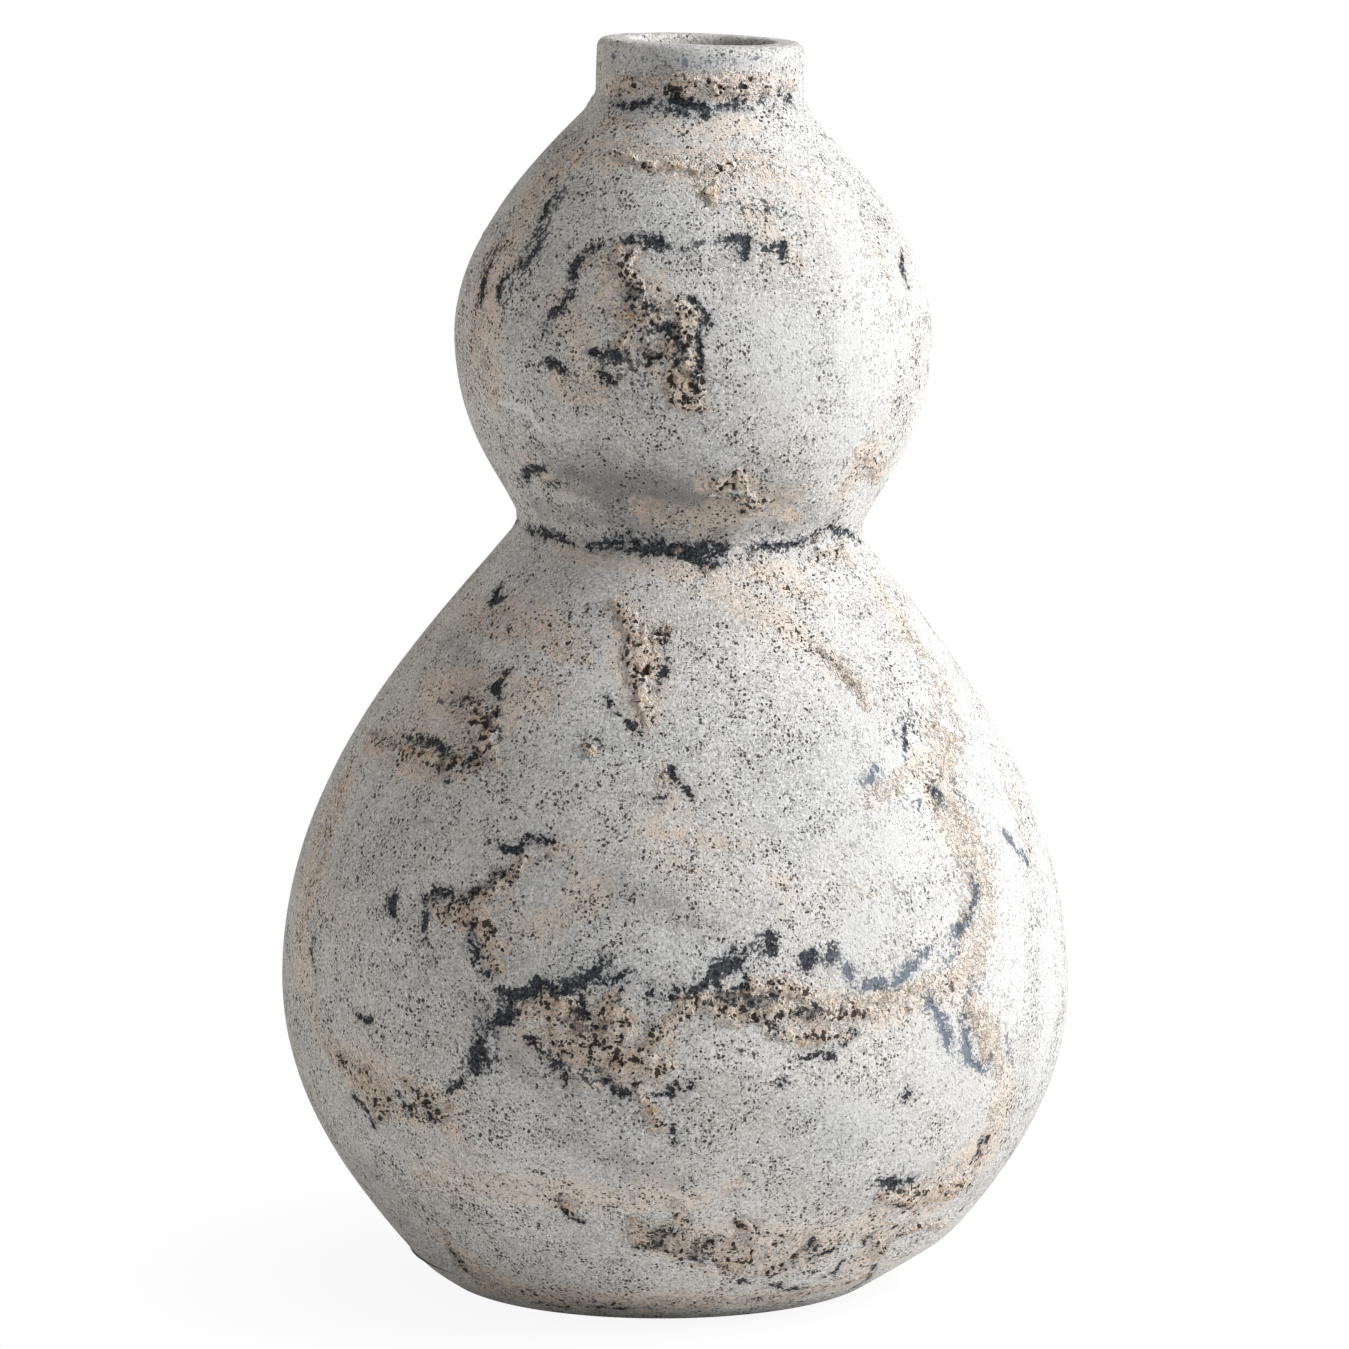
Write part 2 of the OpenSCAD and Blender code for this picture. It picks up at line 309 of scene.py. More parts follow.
# Strokes of the finish, in pixels of the photograph: a width, and the points it runs through
CRUST = {
    "drop_top": (15, (612, 606), (624, 618), (634, 632)),
    "drop_middle": (30, (634, 634), (640, 660), (638, 684)),
    "drop_tip": (14, (664, 628), (650, 650)),
    "drop_end": (13, (640, 690), (646, 712), (648, 724)),
    "left_loop_arm": (18, (524, 860), (500, 884), (482, 900), (462, 912), (438, 906)),
    "left_loop_foot": (17, (436, 902), (446, 918), (468, 922), (486, 930), (492, 958), (501, 976)),
    "band_left": (30, (528, 1010), (548, 1000), (570, 1018), (590, 1030)),
    "band_middle": (34, (556, 1036), (588, 1044), (612, 1030), (612, 1002)),
    "band_right": (26, (560, 1052), (600, 1064), (640, 1062), (668, 1066)),
    "band_drip": (11, (636, 1076), (650, 1104), (654, 1118), (660, 1128)),
    "band_arm": (10, (668, 1034), (676, 1014), (690, 1000), (706, 994)),
    "knot_right": (20, (704, 998), (740, 1012), (780, 1012)),
    "knot_high": (16, (752, 984), (790, 986), (812, 994)),
    "long_band": (12, (786, 1008), (830, 1012), (868, 1016)),
    "long_band_low": (12, (770, 1032), (812, 1036), (850, 1034)),
    "lower_left": (26, (342, 1064), (364, 1078), (380, 1096), (380, 1114)),
    "lower_left_b": (15, (406, 1088), (420, 1099), (432, 1110), (446, 1112)),
    "left_dome": (15, (484, 704), (484, 724), (484, 742), (497, 760)),
    "left_dome_low": (15, (370, 734), (388, 752), (414, 755), (436, 758)),
    "olive_spot": (11, (585, 744), (588, 756)),
    "crack_peach": (9, (818, 650), (836, 664), (858, 688), (864, 704)),
    "thin_drip": (8, (664, 770), (664, 784)),
    "upper_column": (12, (638, 248), (622, 262), (624, 274), (634, 290)),
    "upper_knot": (20, (672, 304), (688, 322), (690, 344)),
    "upper_knot_low": (16, (690, 352), (692, 378), (694, 402)),
    "upper_knot_left": (16, (618, 314), (640, 322), (660, 318)),
    "upper_rust": (13, (668, 372), (674, 394), (684, 408)),
    "upper_left": (10, (640, 342), (652, 352), (646, 364)),
    "upper_hook": (11, (712, 182), (708, 194), (714, 204), (727, 204)),
    "upper_stain_pits": (9, (636, 168), (668, 166), (700, 172)),
    "cup_pits": (9, (722, 482), (738, 470), (752, 508), (764, 500)),
    "waist_knob": (11, (676, 556), (690, 548)),
    "waist_drip": (9, (814, 538), (818, 562)),
    "waist_drip_b": (9, (840, 542), (842, 560)),
    "foot_streak": (7, (445, 1232), (450, 1248), (460, 1266), (482, 1282), (506, 1296)),
    "foot_knot": (17, (632, 1218), (638, 1234), (650, 1248), (676, 1250)),
    "foot_knot_top": (11, (668, 1236), (682, 1222), (678, 1206)),
    "foot_band": (20, (704, 1244), (716, 1258), (738, 1264), (754, 1250)),
    "foot_band_b": (12, (754, 1246), (752, 1230), (738, 1222)),
    "foot_right": (10, (770, 1272), (796, 1260), (812, 1246)),
    "foot_far": (24, (890, 1192), (912, 1200), (946, 1196)),
    "foot_far_low": (9, (892, 1236), (918, 1228), (944, 1222), (964, 1206)),
    "foot_far_drop": (10, (872, 1240), (886, 1248), (880, 1256)),
    "foot_rim": (9, (756, 1300), (800, 1296), (846, 1284), (872, 1274)),
    "foot_spot": (10, (566, 1200), (574, 1214)),
    "neck_low_band": (8, (612, 90), (640, 86), (680, 91), (720, 86), (760, 92), (790, 88)),
    "dome_left_fill": (20, (466, 700), (488, 728), (480, 764)),
    "dome_left_fill_low": (18, (372, 742), (424, 758), (470, 764)),
    "shoulder_band": (9, (614, 150), (640, 164), (676, 166), (704, 172), (738, 162)),
    "ball_knot_fill": (18, (618, 252), (632, 290), (650, 330)),
    "ball_knot_fill_low": (26, (676, 336), (688, 372), (692, 404)),
    "cup_patch": (13, (706, 484), (740, 484), (756, 504)),
    "cup_side": (11, (868, 454), (876, 474)),
    "loop_fill": (22, (446, 908), (480, 912), (498, 950)),
    "band_bridge": (16, (640, 1058), (664, 1030), (700, 1000)),
    "knot_fill": (13, (720, 992), (770, 1002), (820, 1012), (860, 1006)),
    "foot_fill": (24, (640, 1236), (690, 1248), (750, 1250)),
    "foot_fill_far": (24, (880, 1196), (930, 1196), (968, 1180)),
    "neck_specks": (6, (622, 80), (650, 84), (686, 80), (702, 84), (724, 78), (756, 82)),
    "right_arm": (9, (936, 728), (950, 740), (944, 762), (940, 786)),
    "right_side": (8, (950, 800), (964, 822), (978, 842)),
    "right_turn": (9, (974, 950), (962, 972), (948, 986)),
    "right_foot": (13, (972, 1010), (984, 1030), (988, 1052)),
    "right_low": (9, (994, 1112), (988, 1136), (976, 1164)),
    "far_band": (10, (862, 1004), (896, 996), (930, 984)),
    "waist_knob_right": (10, (820, 560), (836, 556), (850, 562)),
    "waist_knob_low": (9, (700, 566), (712, 572)),
    "upper_left_lumps": (10, (616, 318), (628, 330), (622, 342)),
    "upper_low_lumps": (9, (676, 398), (694, 404), (700, 412)),
}
SOOT = {
    "neck_blot_a": (11, (674, 99), (690, 104), (708, 107)),
    "neck_blot_b": (5, (616, 104), (632, 105), (650, 103)),
    "neck_blot_c": (6, (722, 102), (742, 100)),
    "neck_foot_line": (4, (668, 112), (690, 114), (712, 114)),
    "shoulder_line": (5, (612, 240), (636, 238), (662, 240)),
    "shoulder_line_b": (7, (622, 239), (650, 238)),
    "shoulder_row": (8, (620, 240), (650, 242), (680, 249)),
    "shoulder_mesh": (8, (728, 240), (746, 242), (742, 256)),
    "shoulder_specks": (6, (766, 246), (778, 244), (784, 258)),
    "upper_dots": (5, (600, 246), (583, 258), (574, 276), (569, 296), (562, 306), (550, 319),
                   (546, 330)),
    "upper_left_blot": (8, (628, 292), (648, 302)),
    "upper_blot_a": (11, (666, 328), (680, 338)),
    "upper_blot_b": (9, (678, 346), (684, 372)),
    "upper_blot_c": (6, (690, 300), (700, 312), (711, 327)),
    "upper_blot_d": (6, (698, 338), (700, 352), (704, 368), (696, 384)),
    "upper_smudge": (9, (590, 347), (606, 350), (622, 355)),
    "upper_smudge_b": (9, (644, 348), (658, 358)),
    "upper_spot": (9, (603, 374), (616, 384)),
    "upper_spot_b": (5, (546, 363), (563, 370)),
    "cup_spot": (7, (524, 476), (543, 468)),
    "cup_spot_b": (5, (548, 486), (563, 484)),
    "upper_right_line": (3, (902, 246), (901, 267), (909, 284)),
    "waist_dots": (4, (520, 521), (537, 528), (558, 537), (576, 542)),
    "waist_line": (7, (596, 544), (632, 539), (664, 543)),
    "waist_blot": (14, (656, 546), (690, 552), (722, 544)),
    "waist_blot_b": (8, (690, 556), (710, 562)),
    "waist_thin": (4, (752, 552), (779, 547), (803, 544)),
    "waist_right": (6, (806, 540), (822, 528), (844, 532), (858, 541)),
    "drop_blot": (7, (703, 562), (712, 568)),
    "dome_spot": (7, (497, 590), (492, 604), (504, 600)),
    "dome_spot_b": (7, (507, 673), (494, 689), (497, 698)),
    "dome_dots": (4, (449, 698), (462, 702), (476, 698)),
    "dome_streak": (4, (496, 713), (489, 727)),
    "dome_line": (5, (406, 733), (423, 740), (449, 747), (446, 764), (448, 782)),
    "dome_line_b": (5, (466, 766), (477, 755), (486, 760)),
    "dome_line_c": (3, (468, 744), (480, 741)),
    "drop_shade": (3, (668, 630), (662, 646), (662, 672), (656, 690)),
    "drop_line": (4, (606, 697), (618, 711)),
    "drop_line_b": (5, (627, 720), (641, 734)),
    "drop_spot": (5, (589, 607), (591, 610)),
    "olive_rim": (4, (592, 738), (596, 746)),
    "thin_line": (5, (669, 766), (672, 778), (680, 790), (690, 800)),
    "thin_line_b": (4, (648, 804), (663, 797)),
    "loop_cap": (6, (506, 848), (516, 850), (522, 840), (539, 841), (556, 846)),
    "loop_side": (4, (494, 877), (512, 875)),
    "loop_line": (5, (466, 899), (479, 891), (491, 883)),
    "loop_left": (8, (454, 893), (436, 891), (425, 898), (420, 906)),
    "loop_left_b": (8, (423, 914), (424, 928), (424, 940)),
    "loop_far": (9, (399, 893), (390, 906), (395, 916)),
    "loop_low": (6, (469, 929), (470, 942), (477, 950), (479, 966), (488, 976)),
    "band_top": (10, (498, 988), (512, 998), (530, 988), (538, 980), (560, 991)),
    "band_top_b": (8, (562, 992), (574, 982), (596, 969), (606, 966)),
    "band_top_c": (7, (598, 982), (615, 984), (630, 974)),
    "band_top_d": (4, (620, 990), (616, 1003)),
    "band_blot": (13, (512, 1006), (508, 1020), (488, 1024)),
    "band_blot_b": (11, (480, 1032), (476, 1056), (474, 1068)),
    "band_blot_c": (7, (461, 1081), (449, 1089)),
    "band_blot_d": (7, (481, 1051), (486, 1065), (494, 1069)),
    "band_spot": (13, (583, 1000), (585, 1012), (568, 1012)),
    "band_spot_b": (7, (576, 1027), (603, 1026)),
    "band_inner": (6, (528, 1038), (543, 1056), (554, 1064), (574, 1068)),
    "band_inner_b": (6, (568, 1072), (569, 1084)),
    "band_foot": (7, (604, 1076), (612, 1091), (628, 1092)),
    "band_edge": (5, (663, 1093), (673, 1087), (688, 1086)),
    "drip_end": (7, (670, 1130), (672, 1142), (680, 1133)),
    "knot_left": (6, (650, 987), (653, 998)),
    "knot_line": (7, (670, 997), (686, 992), (706, 980)),
    "knot_blot": (13, (706, 978), (719, 969), (732, 960), (744, 953)),
    "knot_ring": (10, (713, 980), (716, 994), (731, 998), (744, 987), (747, 976)),
    "knot_tail": (10, (742, 1001), (760, 1004), (772, 997)),
    "knot_high_blot": (8, (768, 944), (773, 951), (776, 938)),
    "knot_low_blot": (5, (764, 1021), (778, 1024)),
    "knot_far": (9, (811, 950), (806, 966)),
    "knot_far_b": (8, (832, 950), (826, 966)),
    "knot_far_c": (5, (848, 966), (852, 984)),
    "long_blot": (8, (800, 1010), (816, 1007)),
    "long_blot_b": (5, (836, 1046), (854, 1032)),
    "long_blot_c": (6, (804, 1059), (820, 1052), (834, 1057)),
    "right_low_mass_c": (9, (965, 1012), (965, 1038), (966, 1058), (980, 1066)),
    "left_low_line": (4, (352, 1094), (366, 1106), (375, 1128)),
    "left_low_line_b": (5, (397, 1095), (409, 1111)),
    "left_low_line_c": (5, (418, 1117), (439, 1117)),
    "left_mid_spot": (5, (356, 1019), (373, 1020)),
    "left_edge_line": (3, (313, 936), (311, 950), (316, 968)),
    "plain_spot": (6, (908, 1088), (906, 1097)),
    "plain_spot_b": (4, (782, 1078), (784, 1080)),
    "foot_spot_line": (4, (560, 1197), (569, 1212), (579, 1220)),
    "foot_knot_line": (5, (636, 1246), (641, 1252)),
    "foot_knot_blot": (10, (650, 1247), (660, 1240)),
    "foot_knot_line_b": (5, (660, 1234), (680, 1232)),
    "foot_mid_line": (4, (688, 1242), (699, 1246), (714, 1241)),
    "foot_mid_line_b": (5, (694, 1252), (700, 1260)),
    "foot_low_blot": (6, (741, 1282), (750, 1282)),
    "foot_low_line": (5, (772, 1286), (786, 1292), (806, 1289)),
    "foot_crack": (2, (776, 1274), (796, 1265), (815, 1259), (836, 1246)),
    "foot_crack_b": (2, (863, 1246), (868, 1238), (877, 1232)),
    "foot_far_blot": (9, (878, 1183), (893, 1184), (910, 1181)),
    "foot_far_blot_b": (5, (826, 1277), (836, 1274), (840, 1266)),
    "foot_far_line": (3, (876, 1267), (866, 1280), (855, 1287)),
    "foot_blue": (5, (814, 1239), (816, 1252)),
    "foot_pits": (3, (452, 1252), (460, 1266), (470, 1274)),
    "foot_dashes": (2, (540, 1305), (600, 1308), (660, 1308)),
    "right_foot_line": (3, (976, 1154), (981, 1138)),
    "neck_blot_d": (3, (778, 98), (790, 102)),
    "waist_deep": (8, (592, 545), (630, 549), (664, 552), (700, 555), (728, 547)),
    "waist_low_blot": (9, (684, 560), (704, 564), (724, 562)),
    "ball_streak": (6, (562, 184), (553, 198), (544, 214), (541, 228)),
    "ball_streak_b": (6, (538, 238), (534, 252), (522, 264)),
    "ball_streak_c": (6, (510, 268), (503, 282), (498, 298)),
    "ball_streak_d": (4, (486, 274), (482, 290), (480, 306)),
    "right_foot": (7, (930, 1000), (942, 1022), (950, 1048)),
    "right_valley": (6, (864, 986), (890, 984), (908, 970), (926, 954)),
    "right_thin": (4, (966, 868), (976, 890), (970, 916), (956, 936)),
    "right_hook": (4, (904, 724), (902, 738), (903, 752)),
    "right_twig": (4, (876, 768), (866, 780)),
    "right_dark": (5, (1004, 832), (1016, 846), (1028, 862)),
    "right_patch": (9, (934, 792), (944, 802)),
    "neck_foot_line_b": (3, (724, 112), (748, 112)),
}
SMOKE = {
    "ball_streak": (30, (566, 184), (550, 212), (536, 240), (524, 262), (506, 290), (502, 312)),
    "ball_left": (26, (504, 232), (486, 266), (478, 304)),
    "ball_ring": (15, (598, 246), (576, 262), (566, 292), (550, 322)),
    "ball_row": (18, (600, 245), (640, 240), (690, 247), (730, 242), (768, 246)),
    "ball_mesh": (28, (726, 242), (746, 252)),
    "ball_knot": (26, (640, 300), (658, 326), (644, 348)),
    "ball_knot_low": (32, (596, 350), (628, 366), (650, 382)),
    "ball_knot_side": (20, (694, 306), (702, 336), (698, 366)),
    "ball_line": (8, (584, 328), (584, 350), (578, 356)),
    "ball_low_spots": (18, (538, 364), (574, 376)),
    "ball_shoulder": (26, (726, 200), (760, 206), (790, 214)),
    "cup_spots": (24, (516, 474), (548, 478)),
    "cup_mid": (24, (730, 492), (758, 506)),
    "neck_band": (20, (612, 104), (640, 106), (690, 108), (740, 106), (790, 104)),
    "neck_upper": (12, (612, 58), (680, 63), (760, 58)),
    # Painted shade in the waist crease, in the smoke's tones
    "waist_shade": (18, (530, 526), (590, 541), (680, 549), (760, 548), (850, 538)),
    "dome_spots": (20, (486, 596), (502, 604)),
    "dome_left": (26, (440, 700), (480, 706), (498, 736)),
    "dome_left_low": (24, (396, 740), (446, 752), (484, 768)),
    "crack": (9, (814, 648), (826, 656), (836, 668), (848, 675), (864, 700)),
    "right_hook": (22, (916, 710), (902, 722), (896, 734), (903, 740), (903, 758)),
    "right_twig": (20, (878, 764), (872, 776), (862, 782), (850, 784)),
    "right_patch": (20, (934, 780), (942, 808)),
    "right_line": (18, (948, 776), (962, 792), (972, 806), (981, 828)),
    "right_soft": (20, (896, 800), (912, 804), (926, 812)),
    "right_thin": (20, (964, 850), (974, 872), (978, 896), (970, 916)),
    "right_mass": (28, (970, 916), (956, 936), (948, 962)),
    "right_valley": (26, (848, 974), (862, 984), (890, 984), (908, 970), (926, 954), (940, 950)),
    "right_foot": (28, (922, 992), (936, 1012), (946, 1030), (950, 1048)),
    "right_foot_b": (24, (956, 1000), (970, 990), (988, 982)),
    "right_foot_c": (24, (964, 1024), (964, 1048), (972, 1064), (986, 1066), (992, 1052)),
    "right_far": (16, (1004, 1030), (1014, 1054)),
    "right_dark": (13, (1000, 830), (1012, 840), (1028, 864)),
    "cap": (9, (845, 882), (858, 879), (874, 884)),
    "cap_b": (8, (804, 894), (811, 905)),
    "loop_far": (20, (398, 890), (390, 914)),
    "loop_left": (16, (450, 894), (426, 902), (424, 940)),
    "band_top": (28, (476, 1002), (520, 1002), (560, 988), (612, 968)),
    "band_left": (36, (482, 1022), (484, 1050), (470, 1078)),
    "band_low": (20, (540, 1062), (600, 1082), (640, 1096)),
    "knot_top": (30, (690, 984), (740, 958), (778, 942)),
    "knot_right": (26, (804, 952), (830, 958), (850, 972)),
    "left_low": (16, (356, 1096), (376, 1124)),
    "left_low_b": (12, (398, 1096), (438, 1118)),
    "foot_front": (22, (650, 1240), (690, 1248), (740, 1276)),
    "foot_blue": (14, (814, 1236), (818, 1256)),
    "foot_far": (16, (876, 1182), (906, 1182)),
}
STAIN = {
    "neck_ring": (30, (612, 166), (650, 160), (700, 166), (748, 162), (776, 176)),
    "neck_ring_low": (12, (690, 176), (716, 190)),
    "shoulder_left": (42, (583, 148), (606, 136), (636, 132)),
    "shoulder_mid": (14, (612, 250), (596, 259), (582, 272)),
    "upper_edge": (34, (546, 180), (520, 210), (496, 250), (480, 300), (474, 350)),
    "upper_mid": (30, (556, 378), (580, 388), (606, 390)),
    "upper_speck": (8, (770, 197), (772, 202)),
    "upper_speck_b": (8, (812, 172), (822, 184)),
    "cup_right": (14, (874, 446), (880, 468), (874, 486)),
    "cup_shade": (16, (634, 502), (662, 522), (690, 530)),
    "cup_mid": (16, (744, 506), (770, 502), (796, 522)),
    "below_waist": (20, (650, 560), (684, 578), (706, 590)),
    "below_waist_b": (22, (740, 566), (790, 586), (830, 602)),
    "dome_right": (20, (870, 570), (900, 620), (930, 664)),
    "dome_left": (30, (466, 618), (500, 630), (548, 630)),
    "dome_left_b": (26, (552, 622), (560, 650), (582, 662)),
    "dome_left_c": (26, (500, 676), (530, 690), (566, 694)),
    "drop_halo": (34, (622, 610), (638, 650), (640, 700)),
    "left_wall": (26, (352, 760), (326, 840), (300, 930)),
    "left_edge_mark": (10, (312, 930), (310, 950), (316, 972)),
    "loop_top": (16, (522, 852), (548, 852), (576, 846)),
    "loop_inner": (14, (520, 870), (504, 900), (490, 930)),
    "ochre_line": (9, (596, 884), (582, 906), (576, 930)),
    "mid_specks": (18, (640, 828), (664, 834), (746, 850)),
    "band_halo": (50, (530, 1016), (580, 1036), (640, 1060)),
    "long_halo": (22, (720, 1000), (800, 1010), (880, 1020)),
    "right_halo": (44, (936, 720), (940, 800), (976, 880), (960, 960)),
    "right_foot_halo": (36, (960, 990), (992, 1030), (1000, 1080)),
    "small_peach": (10, (850, 889), (880, 889)),
    "left_low": (50, (330, 1050), (372, 1090), (440, 1106)),
    "left_low_b": (16, (446, 1122), (476, 1150)),
    "foot_left": (14, (446, 1236), (462, 1270), (510, 1298)),
    "foot_halo": (46, (640, 1230), (700, 1254), (760, 1250)),
    "foot_far_halo": (44, (860, 1262), (900, 1216), (950, 1190), (990, 1150)),
    "foot_base": (34, (480, 1286), (560, 1302), (660, 1308), (760, 1300), (850, 1284)),
    "ochre_edge": (8, (1014, 783), (1030, 812)),
    "plain_ochre": (14, (724, 1190), (744, 1186)),
    "right_high": (22, (925, 667), (939, 690), (932, 721)),
    "right_arm": (46, (930, 730), (948, 770), (952, 816)),
    "right_branch": (26, (920, 762), (893, 786), (862, 800)),
    "right_side": (40, (960, 830), (984, 870), (990, 920)),
    "right_turn": (40, (986, 930), (972, 970), (940, 1000)),
    "right_foot": (40, (966, 1000), (990, 1030), (1000, 1070)),
    "right_low": (24, (996, 1110), (988, 1140), (960, 1180)),
    "right_edge": (16, (1004, 780), (1022, 820), (1032, 860)),
    "far_band": (34, (850, 1012), (900, 1004), (940, 990)),
    "ball_knot": (44, (616, 256), (640, 300), (664, 340)),
    "ball_knot_low": (40, (650, 350), (680, 380), (692, 404)),
    "shoulder_band": (34, (600, 140), (640, 162), (700, 168), (748, 160)),
    "cup_patch": (30, (700, 484), (740, 484), (764, 508)),
    "cup_side": (34, (862, 452), (878, 476)),
    "dome_left_fill": (44, (462, 700), (488, 728), (478, 764)),
    "dome_left_low": (40, (372, 742), (424, 758), (470, 764)),
    "neck": (22, (606, 84), (650, 86), (700, 86), (760, 86), (794, 84)),
    "ball_left_lumps": (26, (604, 300), (622, 326), (628, 350)),
    "ball_left_streak": (12, (584, 266), (600, 256), (618, 248)),
    "shoulder_left_low": (26, (548, 182), (566, 166), (592, 152)),
}
DUST = {
    "shoulder_ring": (46, (590, 150), (640, 156), (700, 164), (760, 168), (800, 186)),
    "shoulder_high": (34, (620, 122), (690, 130), (760, 126)),
    "ball_left": (56, (548, 186), (512, 230), (492, 290), (486, 350), (500, 410)),
    "ball_left_high": (60, (570, 150), (540, 180), (516, 220)),
    "ball_knot": (74, (604, 262), (640, 300), (668, 350), (690, 396)),
    "ball_knot_left": (54, (556, 300), (584, 350), (610, 380)),
    "ball_right": (46, (812, 186), (860, 230), (892, 280), (902, 330)),
    "ball_mid_right": (30, (740, 200), (780, 240), (800, 262)),
    "cup_left": (30, (506, 440), (530, 470), (560, 486)),
    "cup_mid": (44, (650, 500), (700, 520), (760, 500), (800, 490)),
    "cup_right": (40, (840, 490), (872, 458), (884, 430)),
    "waist_low": (30, (560, 552), (640, 570), (720, 576), (800, 566), (860, 552)),
    "dome_left_high": (50, (470, 600), (520, 620), (580, 640)),
    "dome_left": (76, (430, 690), (490, 710), (550, 700)),
    "dome_left_low": (60, (380, 740), (440, 760), (500, 760)),
    "dome_drop": (60, (620, 610), (640, 660), (640, 720)),
    "dome_middle": (44, (720, 590), (770, 620), (820, 650), (860, 690)),
    "dome_right": (60, (880, 600), (930, 660), (960, 720), (950, 790)),
    "belly_right": (86, (930, 760), (970, 830), (990, 910), (970, 980)),
    "belly_right_low": (70, (950, 1000), (990, 1050), (1000, 1110), (986, 1160)),
    "belly_centre": (26, (660, 760), (672, 800), (650, 850), (700, 870)),
    "belly_spot": (22, (770, 870), (790, 900), (780, 930)),
    "belly_left_edge": (40, (330, 800), (304, 880), (300, 960), (318, 1040)),
    "belly_loop": (46, (560, 860), (590, 900), (540, 930), (490, 930)),
    "belly_band": (90, (520, 1030), (600, 1040), (660, 1060)),
    "belly_long_band": (36, (700, 990), (780, 1000), (860, 1010), (910, 990)),
    "belly_low_left": (70, (350, 1060), (400, 1100), (450, 1110)),
    "belly_low": (50, (420, 1180), (520, 1190), (600, 1200), (700, 1200)),
    "foot_front": (80, (640, 1240), (720, 1250), (800, 1250), (880, 1220)),
    "foot_far": (60, (900, 1210), (950, 1180), (990, 1130)),
    "foot_left": (54, (440, 1236), (470, 1270), (520, 1296), (600, 1304)),
    "foot_base": (50, (480, 1290), (600, 1300), (700, 1304), (800, 1296), (870, 1270)),
}
# Painted shade: the coat darkened under the upper gourd's cup, in the waist crease and inside the
# mouth; elsewhere darker patches
SHADE_AND_DARKENING = {
    "cup": (120, (550, 466), (620, 488), (700, 500), (780, 500)),
    "cup_low": (70, (540, 512), (620, 522), (720, 526), (800, 520)),
    "dome_left": (50, (450, 640), (480, 700), (440, 760)),
    "belly_middle": (44, (560, 880), (640, 900), (720, 930)),
    "belly_low": (44, (560, 1130), (620, 1160), (680, 1180)),
    "belly_band": (40, (470, 1000), (520, 1060), (600, 1100)),
    "waist": (40, (520, 522), (600, 544), (700, 552), (800, 546)),
    "neck": (20, (606, 102), (700, 108), (790, 102)),
    "neck_high": (34, (606, 60), (650, 68), (720, 68), (750, 64)),
    "mouth": (26, (700, 37), (740, 38), (770, 42)),
}
# Painted glare: the key-lit right side painted pale and washed out, its grain, pits and charcoal
# faded; also pale patches on the neck and a band
GLARE_AND_WASH = {
    "belly_right": (170, (930, 640), (972, 760), (996, 880), (996, 1000), (975, 1110)),
    "belly_low": (60, (820, 1090), (880, 1120), (920, 1160)),
    "ball_right": (130, (846, 216), (880, 310), (870, 380), (840, 450)),
    "ball_middle": (80, (760, 300), (790, 360), (780, 430)),
    "shoulder_right": (60, (790, 150), (830, 190)),
    "dome_right": (70, (820, 600), (880, 680)),
    "belly_middle": (120, (850, 690), (880, 800), (880, 900), (850, 950)),
    "neck": (40, (606, 58), (650, 64), (720, 64), (790, 58)),
    "right_valley": (80, (850, 980), (900, 980), (940, 960)),
    "right_low": (100, (930, 1000), (950, 1050), (980, 1110)),
    "right_edge": (90, (1030, 760), (1050, 880), (1052, 980), (1040, 1080)),
    "long_band": (13, (710, 990), (760, 1000), (860, 1012)),
}
CHIP = {
    "sliver": (4, (407, 984), (406, 1003)),
    "flake": (7, (449, 1180), (463, 1180)),
    "flake_smear": (4, (400, 1166), (430, 1170), (450, 1178)),
    "pale_smear": (10, (500, 402), (530, 410), (540, 430)),
    "band_gleam": (7, (728, 984), (731, 985)),
}

# The strokes that the photograph shows, for each finish
SEEN = {"crust": CRUST, "soot": SOOT, "smoke": SMOKE, "stain": STAIN, "dust": DUST, "grime": SHADE_AND_DARKENING,
        "wash": GLARE_AND_WASH, "chip": CHIP}

# Strokes on the wall: points of the vase in metres, with a radius
Stroke = namedtuple("Stroke", "points radius")
PIXEL_SIZE = (CAMERA_AIM - CAMERA_AT).length * SENSOR / PHOTO_SIDE / LENS
PIXEL_STEP = 18
# Share of its width that a stroke keeps at its ends
TAPER = 0.55
# How far outside a stroke its depth is still told
FAR = 0.006


def seen_strokes(surface, turn, drawn):
    """Strokes drawn over the photograph, laid on the wall."""
    strokes = []
    for width, *pixels in drawn.values():
        spots = []
        for (x0, y0), (x1, y1) in zip(pixels[:-1], pixels[1:]):
            steps = max(1, round(math.dist((x0, y0), (x1, y1)) / PIXEL_STEP))
            for i in range(steps):
                share = i / steps
                spots.append((x0 + (x1 - x0) * share, y0 + (y1 - y0) * share))
        spots.append(pixels[-1])
        points = [seen_at(surface, turn, x, y) for x, y in spots]
        points = np.array([point for point in points if point is not None])
        if len(points) > 1:
            strokes.append(Stroke(points, width / 2 * PIXEL_SIZE))
    return strokes


# Patches that wander over the sides and the back, where the photograph doesn't look
WANDER_STEP = 0.0085
WANDER_TURN = 1.0
UNSEEN_EDGE = 0.012


def wander(surface, rng, angle, height, steps, base):
    """A crooked line over the wall, from one direction and height and on one course."""
    points = []
    for _ in range(steps):
        point = wall_at(surface, angle, height)
        if point is not None and point.y > UNSEEN_EDGE:
            points.append(point)
        radius = NECK_R if point is None else max(math.hypot(point.x, point.y), NECK_R)
        heading = base + rng.uniform(-WANDER_TURN, WANDER_TURN)
        angle += WANDER_STEP * math.cos(heading) / radius
        height += WANDER_STEP * math.sin(heading)
    return np.array(points)


